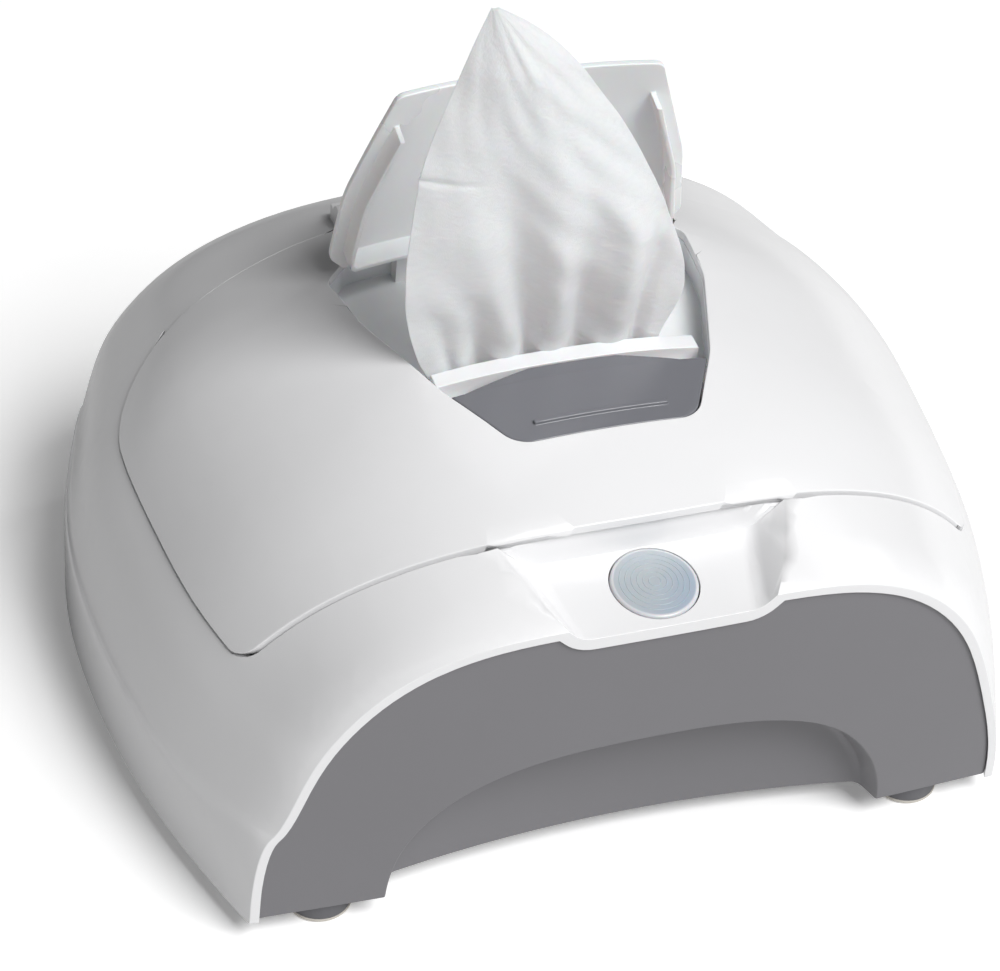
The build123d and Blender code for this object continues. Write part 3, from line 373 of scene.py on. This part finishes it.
def merged_copy(node: str) -> bpy.types.Mesh:
    """Copy a CAD node's mesh and join its loose triangles."""
    work = bmesh.new()
    work.from_mesh(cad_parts[node].data)
    bmesh.ops.remove_doubles(work, verts=work.verts, dist=0.002 * MM)
    mesh = bpy.data.meshes.new(node + "_merged")
    work.to_mesh(mesh)
    work.free()
    return mesh


def evaluated(mesh: bpy.types.Mesh, prepare: Callable[[bpy.types.Object], None]) -> bpy.types.Mesh:
    """Run modifiers on a mesh.

    Args:
        mesh: Mesh to start from, which is removed.
        prepare: Adds modifiers to the object it is given.

    Returns:
        The resulting mesh with no modifiers left.
    """
    carrier = bpy.data.objects.new("carrier", mesh)
    bpy.context.scene.collection.objects.link(carrier)
    prepare(carrier)
    graph = bpy.context.evaluated_depsgraph_get()
    result = bpy.data.meshes.new_from_object(carrier.evaluated_get(graph))
    bpy.data.objects.remove(carrier)
    bpy.data.meshes.remove(mesh)
    return result


@dataclass(frozen=True)
class ScoopZone:
    """Stretch of the shell about the finger scoop, where full rounding would tear the mesh."""

    half_width: float = 62.0
    rear_y: float = -57.0
    low_z: float = 88.0
    cheek_inner_x: float = 22.0
    cheek_outer_x: float = 44.0
    cheek_front_y: float = -91.0
    cheek_rear_y: float = -67.0

    def share(self, place: Vector, scoop_share: float) -> float:
        """Share of the rounding for an edge whose middle is at a place, in millimetres."""
        x, y, z = abs(place.x), place.y, place.z
        if z <= self.low_z:
            return 1.0
        if self.cheek_inner_x < x < self.cheek_outer_x and self.cheek_front_y < y < self.cheek_rear_y:
            return 0.0
        return scoop_share if x < self.half_width and y < self.rear_y else 1.0


SCOOP_ZONE = ScoopZone()
SHARP_ANGLE = math.radians(28)


def weigh_sharp_edges(mesh: bpy.types.Mesh, scoop_share: float) -> None:
    """Give each sharp edge its share of the rounding.

    Args:
        mesh: Closed mesh in the frame's own place.
        scoop_share: Share of the full radius that the edges about the finger scoop get.
    """
    work = bmesh.new()
    work.from_mesh(mesh)
    layer = work.edges.layers.float.new("bevel_weight_edge")
    for edge in work.edges:
        if edge.calc_face_angle(0.0) > SHARP_ANGLE:
            middle = (edge.verts[0].co + edge.verts[1].co) / (2 * MM)
            edge[layer] = SCOOP_ZONE.share(middle, scoop_share)
    work.to_mesh(mesh)
    work.free()


def rounded(mesh: bpy.types.Mesh, radius: float, scoop_share: float) -> bpy.types.Mesh:
    """Round the sharp edges of a closed mesh.

    Args:
        mesh: Closed mesh in the frame's own place.
        radius: Full radius in millimetres.
        scoop_share: Share of it about the finger scoop.

    Returns:
        The rounded mesh.
    """
    weigh_sharp_edges(mesh, scoop_share)

    def prepare(carrier: bpy.types.Object) -> None:
        """Add the bevel and normals weighted by face size."""
        bevel = carrier.modifiers.new("edge_rounding", "BEVEL")
        bevel.width = radius * MM
        bevel.segments = 3
        bevel.limit_method = "WEIGHT"
        bevel.use_clamp_overlap = False
        bevel.miter_outer = "MITER_ARC"
        normals = carrier.modifiers.new("even_normals", "WEIGHTED_NORMAL")
        normals.weight = 100

    return evaluated(mesh, prepare)


@dataclass(frozen=True)
class ScoopWall:
    """Brings the wall behind the shelf forward until it stands under the lid's edge."""

    travel: float = 6.4
    start_y: float = -68.9
    wall_y: float = -61.7
    back_y: float = -60.6
    half_width: float = 47.0
    low_z: float = 97.5

    def warped(self, points: Points) -> Points:
        """Points after the move."""
        moved = points.copy()
        x, y, z = points.T
        inside = (np.abs(x) < self.half_width) & (z > self.low_z) & (y < self.back_y)
        share = np.clip((y - self.start_y) / (self.wall_y - self.start_y), 0, 1)
        moved[:, 1] -= self.travel * share * inside
        return moved


def link_piece(name: str, mesh: bpy.types.Mesh, body: Body, slot: str, *replaced: str) -> bpy.types.Object:
    """Put a finished mesh into the scene as a piece.

    Args:
        name: Piece name.
        mesh: Mesh in the frame's own place, in metres.
        body: Body it rides on.
        slot: Material slot name; not used.
        *replaced: CAD nodes that it stands for.

    Returns:
        The piece's object.
    """
    piece = bpy.data.objects.new(name, mesh)
    bpy.context.scene.collection.objects.link(piece)
    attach(piece, body.value)
    if replaced:
        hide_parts(*replaced)
    LOG.info("%s: %d faces on %s", name, len(mesh.polygons), body.value)
    return piece


@dataclass
class Moulding:
    """A moulded piece made from its CAD solid, with the soft edges that a mould leaves."""

    node: str
    body: Body
    slot: str
    finish: Finish
    edge: float
    warp: ScoopWall | None = None
    scoop_share: float = 1.0

    def make(self) -> bpy.types.Object:
        """Build the piece and put it in the scene."""
        mesh = merged_copy(self.node)
        if self.warp is not None:
            write_points(mesh, self.warp.warped(read_points(mesh)))
        mesh.shade_smooth()
        mesh = rounded(mesh, self.edge, self.scoop_share)
        mesh.materials.clear()
        mesh.materials.append(self.finish.build())
        mesh.name = self.node + "_moulded"
        return link_piece(self.node + "_moulded", mesh, self.body, self.slot, self.node)


def lathe(profile: Sequence[tuple[float, float]], segments: int) -> bpy.types.Mesh:
    """Turn a closed profile round the Z axis.

    Args:
        profile: Radius and height pairs from the axis at the top to the axis at the bottom.
        segments: Number of steps round.

    Returns:
        A closed mesh about the origin, in metres.
    """
    work = bmesh.new()
    rings = []
    for radius, height in profile:
        if radius == 0:
            rings.append([work.verts.new((0, 0, height * MM))])
            continue
        turns = [2 * math.pi * step / segments for step in range(segments)]
        rings.append([work.verts.new((radius * math.cos(t) * MM, radius * math.sin(t) * MM, height * MM))
                      for t in turns])
    for upper, lower in zip(rings, rings[1:]):
        for step in range(segments):
            after = (step + 1) % segments
            corners = [upper[step % len(upper)], lower[step % len(lower)],
                       lower[after % len(lower)], upper[after % len(upper)]]
            unique = list(dict.fromkeys(corners))
            work.faces.new(unique)
    bmesh.ops.recalc_face_normals(work, faces=work.faces)
    mesh = bpy.data.meshes.new("turned")
    work.to_mesh(mesh)
    work.free()
    return mesh


# ---------------------------------------------------------------- sub-assemblies


@dataclass
class Housing:
    """Outer shell and front panel of the base."""

    shell_edge: float = 0.22
    scoop_share: float = 0.6
    panel_edge: float = 0.4

    def make(self) -> None:
        """Build the housing's pieces."""
        Moulding("body_shell", Body.BASE, "shell_white", GLOSS_WHITE_ABS, self.shell_edge, ScoopWall(),
                 self.scoop_share).make()
        Moulding("front_panel", Body.BASE, "cover_grey", SATIN_GREY_ABS, self.panel_edge).make()


@dataclass
class Lid:
    """Hinged lid with its dispensing tray and press tab."""

    lid_edge: float = 0.35
    tray_edge: float = 0.25
    tab_edge: float = 0.35

    def make(self) -> None:
        """Build the lid's pieces."""
        Moulding("lid_shell", Body.LID, "shell_white", GLOSS_WHITE_ABS, self.lid_edge).make()
        Moulding("dispensing_tray", Body.LID, "tray_pale", GLOSS_PALE_PP, self.tray_edge).make()
        Moulding("release_tab", Body.TAB, "tab_grey", SEMI_GLOSS_GREY_ABS, self.tab_edge).make()


@dataclass
class FlipCap:
    """Clear cap that stands open."""

    edge: float = 0.4

    def make(self) -> None:
        """Build the cap."""
        Moulding("flip_cap", Body.CAP, "cap_frosted", FROSTED_CLEAR_PP, self.edge).make()


@dataclass
class NightLight:
    """Round push lens with rings moulded under its face."""

    radius: float = 11.8
    rise: float = 0.4
    crown: float = 0.45
    thickness: float = 3.0
    edge_round: float = 0.8
    skirt_outer: float = 6.8
    skirt_inner: float = 5.6
    skirt_depth: float = 5.0
    ring_count: int = 6
    ring_first: float = 1.6
    ring_pitch: float = 1.55
    ring_wire: float = 0.17
    segments: int = 96

    def profile(self) -> list[tuple[float, float]]:
        """Half section of the lens in its own axes."""
        flat_end = self.radius - self.edge_round
        crown = [(flat_end * step / 8, self.rise + self.crown * (1 - (step / 8) ** 2)) for step in range(9)]
        turns = [math.radians(15 * step) for step in range(1, 7)]
        edge = [(flat_end + self.edge_round * math.sin(t), self.rise - self.edge_round * (1 - math.cos(t)))
                for t in turns]
        low = self.rise - self.thickness
        under = [(self.radius, low), (self.skirt_outer, low), (self.skirt_outer, low - self.skirt_depth),
                 (self.skirt_inner, low - self.skirt_depth), (self.skirt_inner, low), (0.0, low)]
        return crown + edge + under

    def ring_tree(self) -> bpy.types.GeometryNodeTree:
        """Node tree that lays thin round ridges about one centre."""
        tree = bpy.data.node_groups.new("lens_rings", "GeometryNodeTree")
        for name, kind in (("Geometry", "NodeSocketGeometry"), ("Count", "NodeSocketInt"),
                           ("First Radius", "NodeSocketFloat"), ("Pitch", "NodeSocketFloat"),
                           ("Wire Radius", "NodeSocketFloat"), ("Material", "NodeSocketMaterial")):
            tree.interface.new_socket(name, in_out="INPUT", socket_type=kind)
        tree.interface.new_socket("Geometry", in_out="OUTPUT", socket_type="NodeSocketGeometry")
        given = add_node(tree, "NodeGroupInput").outputs
        line = add_node(tree, "GeometryNodeMeshLine", inputs={"Count": given["Count"], "Offset": (0, 0, 0)})
        index = add_node(tree, "GeometryNodeInputIndex")
        size = add_node(tree, "ShaderNodeMath", {"operation": "MULTIPLY_ADD"}, {
            0: index.outputs[0], 1: given["Pitch"], 2: given["First Radius"]})
        circle = add_node(tree, "GeometryNodeCurvePrimitiveCircle", inputs={
            "Resolution": self.segments, "Radius": 1.0})
        spread = add_node(tree, "GeometryNodeInstanceOnPoints", inputs={
            "Points": line.outputs["Mesh"], "Instance": circle.outputs["Curve"], "Scale": size.outputs[0]})
        loose = add_node(tree, "GeometryNodeRealizeInstances", inputs={0: spread.outputs["Instances"]})
        wire = add_node(tree, "GeometryNodeCurvePrimitiveCircle", inputs={
            "Resolution": 8, "Radius": given["Wire Radius"]})
        swept = add_node(tree, "GeometryNodeCurveToMesh", inputs={
            "Curve": loose.outputs[0], "Profile Curve": wire.outputs["Curve"]})
        real = add_node(tree, "GeometryNodeRealizeInstances", inputs={0: swept.outputs["Mesh"]})
        dressed = add_node(tree, "GeometryNodeSetMaterial", inputs={
            "Geometry": real.outputs[0], "Material": given["Material"]})
        add_node(tree, "NodeGroupOutput", inputs={0: dressed.outputs["Geometry"]})
        return tree

    def ring_mesh(self, material: bpy.types.Material) -> bpy.types.Mesh:
        """Plain mesh of the rings in the lens's own axes."""
        tree = self.ring_tree()
        sockets = {item.name: item.identifier for item in tree.interface.items_tree if item.in_out == "INPUT"}
        values = {"Count": self.ring_count, "First Radius": self.ring_first * MM,
                  "Pitch": self.ring_pitch * MM, "Wire Radius": self.ring_wire * MM, "Material": material}

        def prepare(carrier: bpy.types.Object) -> None:
            """Add the ring tree with its sizes."""
            rings = carrier.modifiers.new("rings", "NODES")
            rings.node_group = tree
            for name, value in values.items():
                rings[sockets[name]] = value

        return evaluated(bpy.data.meshes.new("ring_seed"), prepare)

    def make(self) -> None:
        """Build lens and rings on the shelf."""
        placing = SHELF.placing()
        material = LensFinish().build(placing.inverted())
        lens = lathe(self.profile(), self.segments)
        lens.transform(placing)
        lens.materials.append(material)
        lens.shade_smooth()
        lens.set_sharp_from_angle(angle=math.radians(40))
        link_piece("light_lens_turned", lens, Body.LIGHT_BUTTON, "lens_frosted", "light_lens")
        rings = self.ring_mesh(material)
        points = read_points(rings)
        reach = np.hypot(points[:, 0], points[:, 1]) / (self.radius - self.edge_round)
        points[:, 2] += self.rise + self.crown * (1 - reach ** 2) - 0.4 * self.ring_wire
        write_points(rings, points)
        rings.transform(placing)
        rings.shade_smooth()
        link_piece("light_lens_rings", rings, Body.LIGHT_BUTTON, "lens_frosted")


@dataclass(frozen=True)
class Fold:
    """One fold of the wipe, followed from low to high.

    Each station gives height, place across, half width and depth, which is negative
    where the cloth comes forward.
    """

    stations: tuple[tuple[float, float, float, float], ...]

    def depth(self, x: Points, z: Points) -> Points:
        """Depth that the fold adds at each place."""
        levels, places, widths, depths = np.array(self.stations).T
        reach = (x - np.interp(z, levels, places)) / np.interp(z, levels, widths)
        return np.interp(z, levels, depths) * np.exp(-reach ** 2)


@dataclass
class Wipe:
    """One wipe fanned up out of the slot, gathered into pleats where it passes through."""

    slot_y: float = -3.0
    slot_z: float = 108.0
    rows: int = 190
    columns: int = 260
    thickness: float = 0.3
    tuck: float = 4.0
    flattened_keep: float = 0.02
    cut_width: float = 105.0
    cut_length: float = 140.0
    # Chosen share of the cut rectangle that the pointed cloth covers, not a measured one.
    cut_share: float = 0.72
    left_edge: Sequence[tuple[float, float]] = (
        (-30, 92.2), (-34, 102), (-37.5, 109), (-41.2, 115.7), (-44.4, 125.8), (-46.4, 136), (-47, 147),
        (-46.6, 158), (-45.7, 171), (-44.9, 181), (-42.8, 189), (-40, 199), (-37.1, 207), (-33.7, 218.5),
        (-29.6, 229.2))
    right_edge: Sequence[tuple[float, float]] = (
        (30, 92.2), (28.5, 102), (27.2, 109), (28.8, 116), (32.3, 123.5), (33.9, 130), (32.8, 138.3),
        (29.8, 147.7), (25.2, 159.6), (20.6, 169), (14.1, 181.4), (8.4, 191), (2.6, 199), (-2.9, 207.2),
        (-8.4, 214), (-14.5, 220), (-20.3, 224.6), (-24.5, 227.4), (-27.8, 229.2))

    folds: Sequence[Fold] = (
        Fold(((109, -31.5, 1.4, 1.0), (114, -32.5, 2.0, 1.6), (124, -35, 3, 1.2), (134, -37, 4, 0))),
        Fold(((109, -23.6, 2.4, 3.6), (114, -23.8, 2.6, 3.6), (124, -25.5, 3.4, 2.4), (140, -28, 5, 0))),
        Fold(((109, -15.5, 3.2, -0.6), (122, -17, 4, -1.6), (140, -22, 6, -1.2), (160, -31, 8, -0.8),
              (185, -36, 9, 0))),
        Fold(((109, -9.6, 1.6, 3.6), (116, -10, 2.0, 3.8), (125, -11.3, 3, 4.0), (136, -13.7, 5, 4.6),
              (151, -17.1, 6.5, 4.4), (166, -19.6, 8, 3.2), (188, -22, 9, 1.2), (208, -24, 9, 0))),
        Fold(((109, -3.4, 3.4, -0.6), (122, -3.4, 4.4, -2.2), (134, -3.6, 5, -2.8), (154, -5, 6.5, -2.4),
              (178, -9.7, 7.5, -1.6), (202, -16, 7, 0))),
        Fold(((109, 4.9, 2.6, 3.8), (116, 4.9, 2.8, 4.0), (124, 4.6, 3.4, 3.8), (138, 2.8, 4.2, 3.2),
              (153, 1.7, 5, 1.8), (172, -0.7, 7, 0))),
        Fold(((109, 13.6, 4.2, -0.6), (124, 14.4, 5, -3.4), (141, 15.4, 5.4, -4.6), (153, 15.6, 6, -4.6),
              (164, 11.5, 7.5, -2.8), (178, 5, 9, -0.8), (192, 2, 9, 0))),
        Fold(((109, 21.5, 1.8, 2.6), (120, 21.6, 2.2, 3.2), (133, 22.6, 2.8, 3.4), (145, 24.6, 3.4, 3.2),
              (156, 25.4, 4, 2.2), (168, 22, 5, 0))),
    )

    @staticmethod
    def eased(edge: Sequence[tuple[float, float]], heights: Points) -> Points:
        """Smooth line through an edge's points at the given heights."""
        places, levels = np.array(edge, float).T
        line = np.interp(heights, levels, places)
        window = np.hanning(15)
        padded = np.concatenate((2 * line[0] - line[7:0:-1], line, 2 * line[-1] - line[-2:-9:-1]))
        return np.convolve(padded, window / window.sum(), "valid")

    def depth(self, x: Points, z: Points, across: Points) -> Points:
        """How far each point stands behind the slot's middle.

        Args:
            x: Place across, in the frame.
            z: Height, in the frame.
            across: Place from the left edge, 0, to the right edge, 1.

        Returns:
            Depth offsets, negative towards the front.
        """
        rise = z - self.slot_z
        total = -6.0 * np.sin(math.pi * across) * smooth_ramp(rise, 6, 55)
        for fold in self.folds:
            total += fold.depth(x, z)
        crease = 0.9 * np.exp(-((rise - 70.5 + 7 * across) / 0.9) ** 2)
        return total + crease * smooth_ramp(-across, -0.38, -0.05)

    def wrinkles(self, across: Points, rise: Points) -> Points:
        """Small uneven waves of the damp cloth, from a fixed seed."""
        chance = np.random.default_rng(7)
        total = np.zeros_like(across)
        for _ in range(26):
            along, over = chance.uniform(1, 9), chance.uniform(0.05, 0.42)
            start = chance.uniform(0, 2 * math.pi)
            wave = np.sin(2 * math.pi * along * across + over * rise + start)
            total += wave * 0.5 / (1 + 4 * over + 0.3 * along)
        return 0.32 * total * smooth_ramp(rise, 4, 25)

    def make(self) -> None:
        """Build the wipe."""
        heights = np.linspace(self.left_edge[0][1], self.left_edge[-1][1], self.rows)
        left, right = self.eased(self.left_edge, heights), self.eased(self.right_edge, heights)
        across = np.tile(np.linspace(0, 1, self.columns), (self.rows, 1))
        rise = np.tile((heights - self.slot_z)[:, None], (1, self.columns))
        x = left[:, None] + (right - left)[:, None] * across
        z = rise + self.slot_z
        room = smooth_ramp(rise, -1, 9)
        narrow = np.minimum((right - left)[:, None] / 30, 1)
        offset = (self.depth(x, z, across) + self.wrinkles(across, rise)) * narrow
        y = self.slot_y + np.where(rise < 9, np.clip(offset, -0.3 - 8 * room, 3.8 + 8 * room), offset)
        points = np.stack((x, y, z), axis=2).reshape(-1, 3)
        mesh = bpy.data.meshes.new("wipe_sheet")
        grid = np.arange((self.rows - 1) * self.columns).reshape(self.rows - 1, self.columns)
        corner = grid[:, :-1].ravel()
        faces = np.stack((corner, corner + 1, corner + 1 + self.columns, corner + self.columns), axis=1)
        mesh.from_pydata((points * MM).tolist(), [], faces.tolist())
        layer = mesh.uv_layers.new(name="cut")
        spots = np.empty(len(mesh.loops), dtype=np.int64)
        mesh.loops.foreach_get("vertex_index", spots)
        flat = np.stack((across.ravel() * self.cut_width, (rise + 16).ravel()), axis=1) * MM
        layer.data.foreach_set("uv", flat[spots].ravel())
        mesh.materials.append(SpunlaceFinish().build())

        def prepare(carrier: bpy.types.Object) -> None:
            """Add the cloth's thickness."""
            solid = carrier.modifiers.new("thickness", "SOLIDIFY")
            solid.thickness = self.thickness * MM
            solid.offset = 0

        mesh = evaluated(mesh, prepare)
        mesh.shade_smooth()
        piece = link_piece("wipe_sheet", mesh, Body.LID, "wipe_cloth", "wipe")
        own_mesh(piece)


@dataclass
class CarriedParts:
    """CAD nodes whose own shape is right, which only get their finish."""

    finishes: dict[str, Finish] = field(default_factory=lambda: {
        "base_plate": TEXTURED_GREY_ABS,
        "foot_pads": PALE_RUBBER,
        "base_screws": ZINC_PLATED_STEEL,
        "wipe_tub": SATIN_WHITE_PP,
        "heater_plate": ROLLED_ALUMINIUM,
        "heater_film": AMBER_POLYIMIDE,
        "thermostat": ZINC_PLATED_STEEL,
        "control_board": GREEN_SOLDER_MASK,
        "board_components": BLACK_NYLON,
        "board_screws": ZINC_PLATED_STEEL,
        "dc_jack": BLACK_NYLON,
        "lid_hinge_pins": DRAWN_STAINLESS_STEEL,
        "light_holder": SATIN_WHITE_PP,
        "light_board": GREEN_SOLDER_MASK,
        "light_switch": BLACK_NYLON,
        "light_leds": CLEAR_EPOXY,
        "lid_liner": SATIN_WHITE_PP,
        "liner_screws": ZINC_PLATED_STEEL,
        "lid_seal": PALE_SILICONE,
        "cap_pin": DRAWN_STAINLESS_STEEL,
        "tab_spring": DRAWN_STAINLESS_STEEL,
    })

    spring_foot_z: float = 109.1
    spring_keep: float = 0.55

    def make(self) -> None:
        """Give each carried node its finish."""
        for node, finish in self.finishes.items():
            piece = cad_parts[node]
            material = finish.build()
            for place in piece.material_slots:
                place.link = "OBJECT"
                place.material = material
            LOG.info("%s: carried, %s", node, finish.name)
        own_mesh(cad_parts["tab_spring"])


# ---------------------------------------------------------------- studio


@dataclass
class Studio:
    """Pale floor, soft lamps and the camera."""

    camera_place: tuple[float, float, float] = (-272.325, -636.053, 681.791)
    camera_right: tuple[float, float, float] = (0.94700, -0.31206, 0.07620)
    camera_up: tuple[float, float, float] = (0.15637, 0.65504, 0.73922)
    camera_ahead: tuple[float, float, float] = (0.28059, 0.68813, -0.66913)
    focal_pixels: float = 3261.91
    sensor: float = 36.0
    floor_half: float = 12000.0
    floor_colour: str = "#EDEDED"
    floor_seen_colour: str = "#FFFFFF"
    floor_lift: float = 0.2
    world_strength: float = 0.04

    def camera(self) -> None:
        """Make the scene's camera."""
        data = bpy.data.cameras.new("camera")
        data.sensor_width = self.sensor
        data.lens = self.focal_pixels * self.sensor / IMAGE_WIDTH
        data.clip_end = 100
        lens = bpy.data.objects.new("camera", data)
        back = [-value for value in self.camera_ahead]
        turn = Matrix((self.camera_right, self.camera_up, back)).transposed()
        lens.matrix_world = Matrix.Translation(Vector(self.camera_place) * MM) @ turn.to_4x4()
        bpy.context.scene.collection.objects.link(lens)
        bpy.context.scene.camera = lens

    def world(self) -> None:
        """White to the camera and to rays passing through clear parts, softer on the object."""
        world = bpy.data.worlds.new("studio")
        world.use_nodes = True
        tree = world.node_tree
        tree.nodes.clear()
        path = add_node(tree, "ShaderNodeLightPath").outputs
        seen = add_node(tree, "ShaderNodeMath", {"operation": "MAXIMUM"}, {
            0: path["Is Camera Ray"], 1: path["Is Transmission Ray"]})
        soft = add_node(tree, "ShaderNodeBackground", inputs={
            "Color": linear_colour("#F4F4F6"), "Strength": self.world_strength})
        white = add_node(tree, "ShaderNodeBackground", inputs={"Color": (1, 1, 1, 1), "Strength": 1.0})
        mixed = add_node(tree, "ShaderNodeMixShader", inputs={
            0: seen.outputs[0], 1: soft.outputs[0], 2: white.outputs[0]})
        add_node(tree, "ShaderNodeOutputWorld", inputs={"Surface": mixed.outputs[0]})
        bpy.context.scene.world = world

    def floor(self) -> None:
        """White floor that keeps the object's shadow."""
        half = self.floor_half * MM
        mesh = bpy.data.meshes.new("floor")
        corners = [(-half, -half, 0), (half, -half, 0), (half, half, 0), (-half, half, 0)]
        mesh.from_pydata(corners, [], [(0, 1, 2, 3)])
        material, tree = fresh_material("painted_studio_floor")
        path = add_node(tree, "ShaderNodeLightPath").outputs
        paint = add_node(tree, "ShaderNodeBsdfDiffuse", inputs={"Color": linear_colour(self.floor_colour)})
        lift = add_node(tree, "ShaderNodeEmission", inputs={
            "Color": (1, 1, 1, 1), "Strength": self.floor_lift})
        clean = add_node(tree, "ShaderNodeBsdfDiffuse", inputs={
            "Color": linear_colour(self.floor_seen_colour)})
        bright = add_node(tree, "ShaderNodeAddShader", inputs={0: clean.outputs[0], 1: lift.outputs[0]})
        chosen = add_node(tree, "ShaderNodeMixShader", inputs={
            0: path["Is Camera Ray"], 1: paint.outputs[0], 2: bright.outputs[0]})
        add_node(tree, "ShaderNodeOutputMaterial", inputs={"Surface": chosen.outputs[0]})
        mesh.materials.append(material)
        ground = bpy.data.objects.new("floor", mesh)
        bpy.context.scene.collection.objects.link(ground)

    def lamp(self, name: str, place: tuple[float, float, float], aim: tuple[float, float, float],
             size: tuple[float, float], power: float) -> None:
        """Add a rectangular soft lamp.

        Args:
            name: Lamp name.
            place: Where it hangs, in millimetres.
            aim: Point it faces, in millimetres.
            size: Width and height, in millimetres.
            power: Watts.
        """
        data = bpy.data.lights.new(name, "AREA")
        data.shape = "RECTANGLE"
        data.size, data.size_y = size[0] * MM, size[1] * MM
        data.energy = power
        lamp = bpy.data.objects.new(name, data)
        lamp.location = Vector(place) * MM
        lamp.rotation_mode = "QUATERNION"
        lamp.rotation_quaternion = (Vector(aim) - Vector(place)).to_track_quat("-Z", "Y")
        bpy.context.scene.collection.objects.link(lamp)

    def make(self) -> None:
        """Set up the whole studio."""
        self.camera()
        self.world()
        self.floor()
        self.lamp("overhead_softbox", (1600, -2600, 4350), (0, 0, 60), (2700, 2700), 285.0)
        self.lamp("side_softbox", (1000, 100, 1000), (0, 0, 60), (700, 700), 2.5)
        self.lamp("fill_softbox", (-900, -1100, 500), (0, 0, 60), (600, 600), 1.8)
        bpy.context.scene.view_settings.view_transform = "Standard"


def main() -> None:
    """Build every piece in order."""
    logging.basicConfig(level=logging.INFO, format="%(name)s %(message)s")
    Studio().make()
    for assembly in (Housing(), Lid(), FlipCap(), NightLight(), Wipe(), CarriedParts()):
        assembly.make()
        LOG.info("%s done", type(assembly).__name__)


if __name__ == "__main__":
    main()
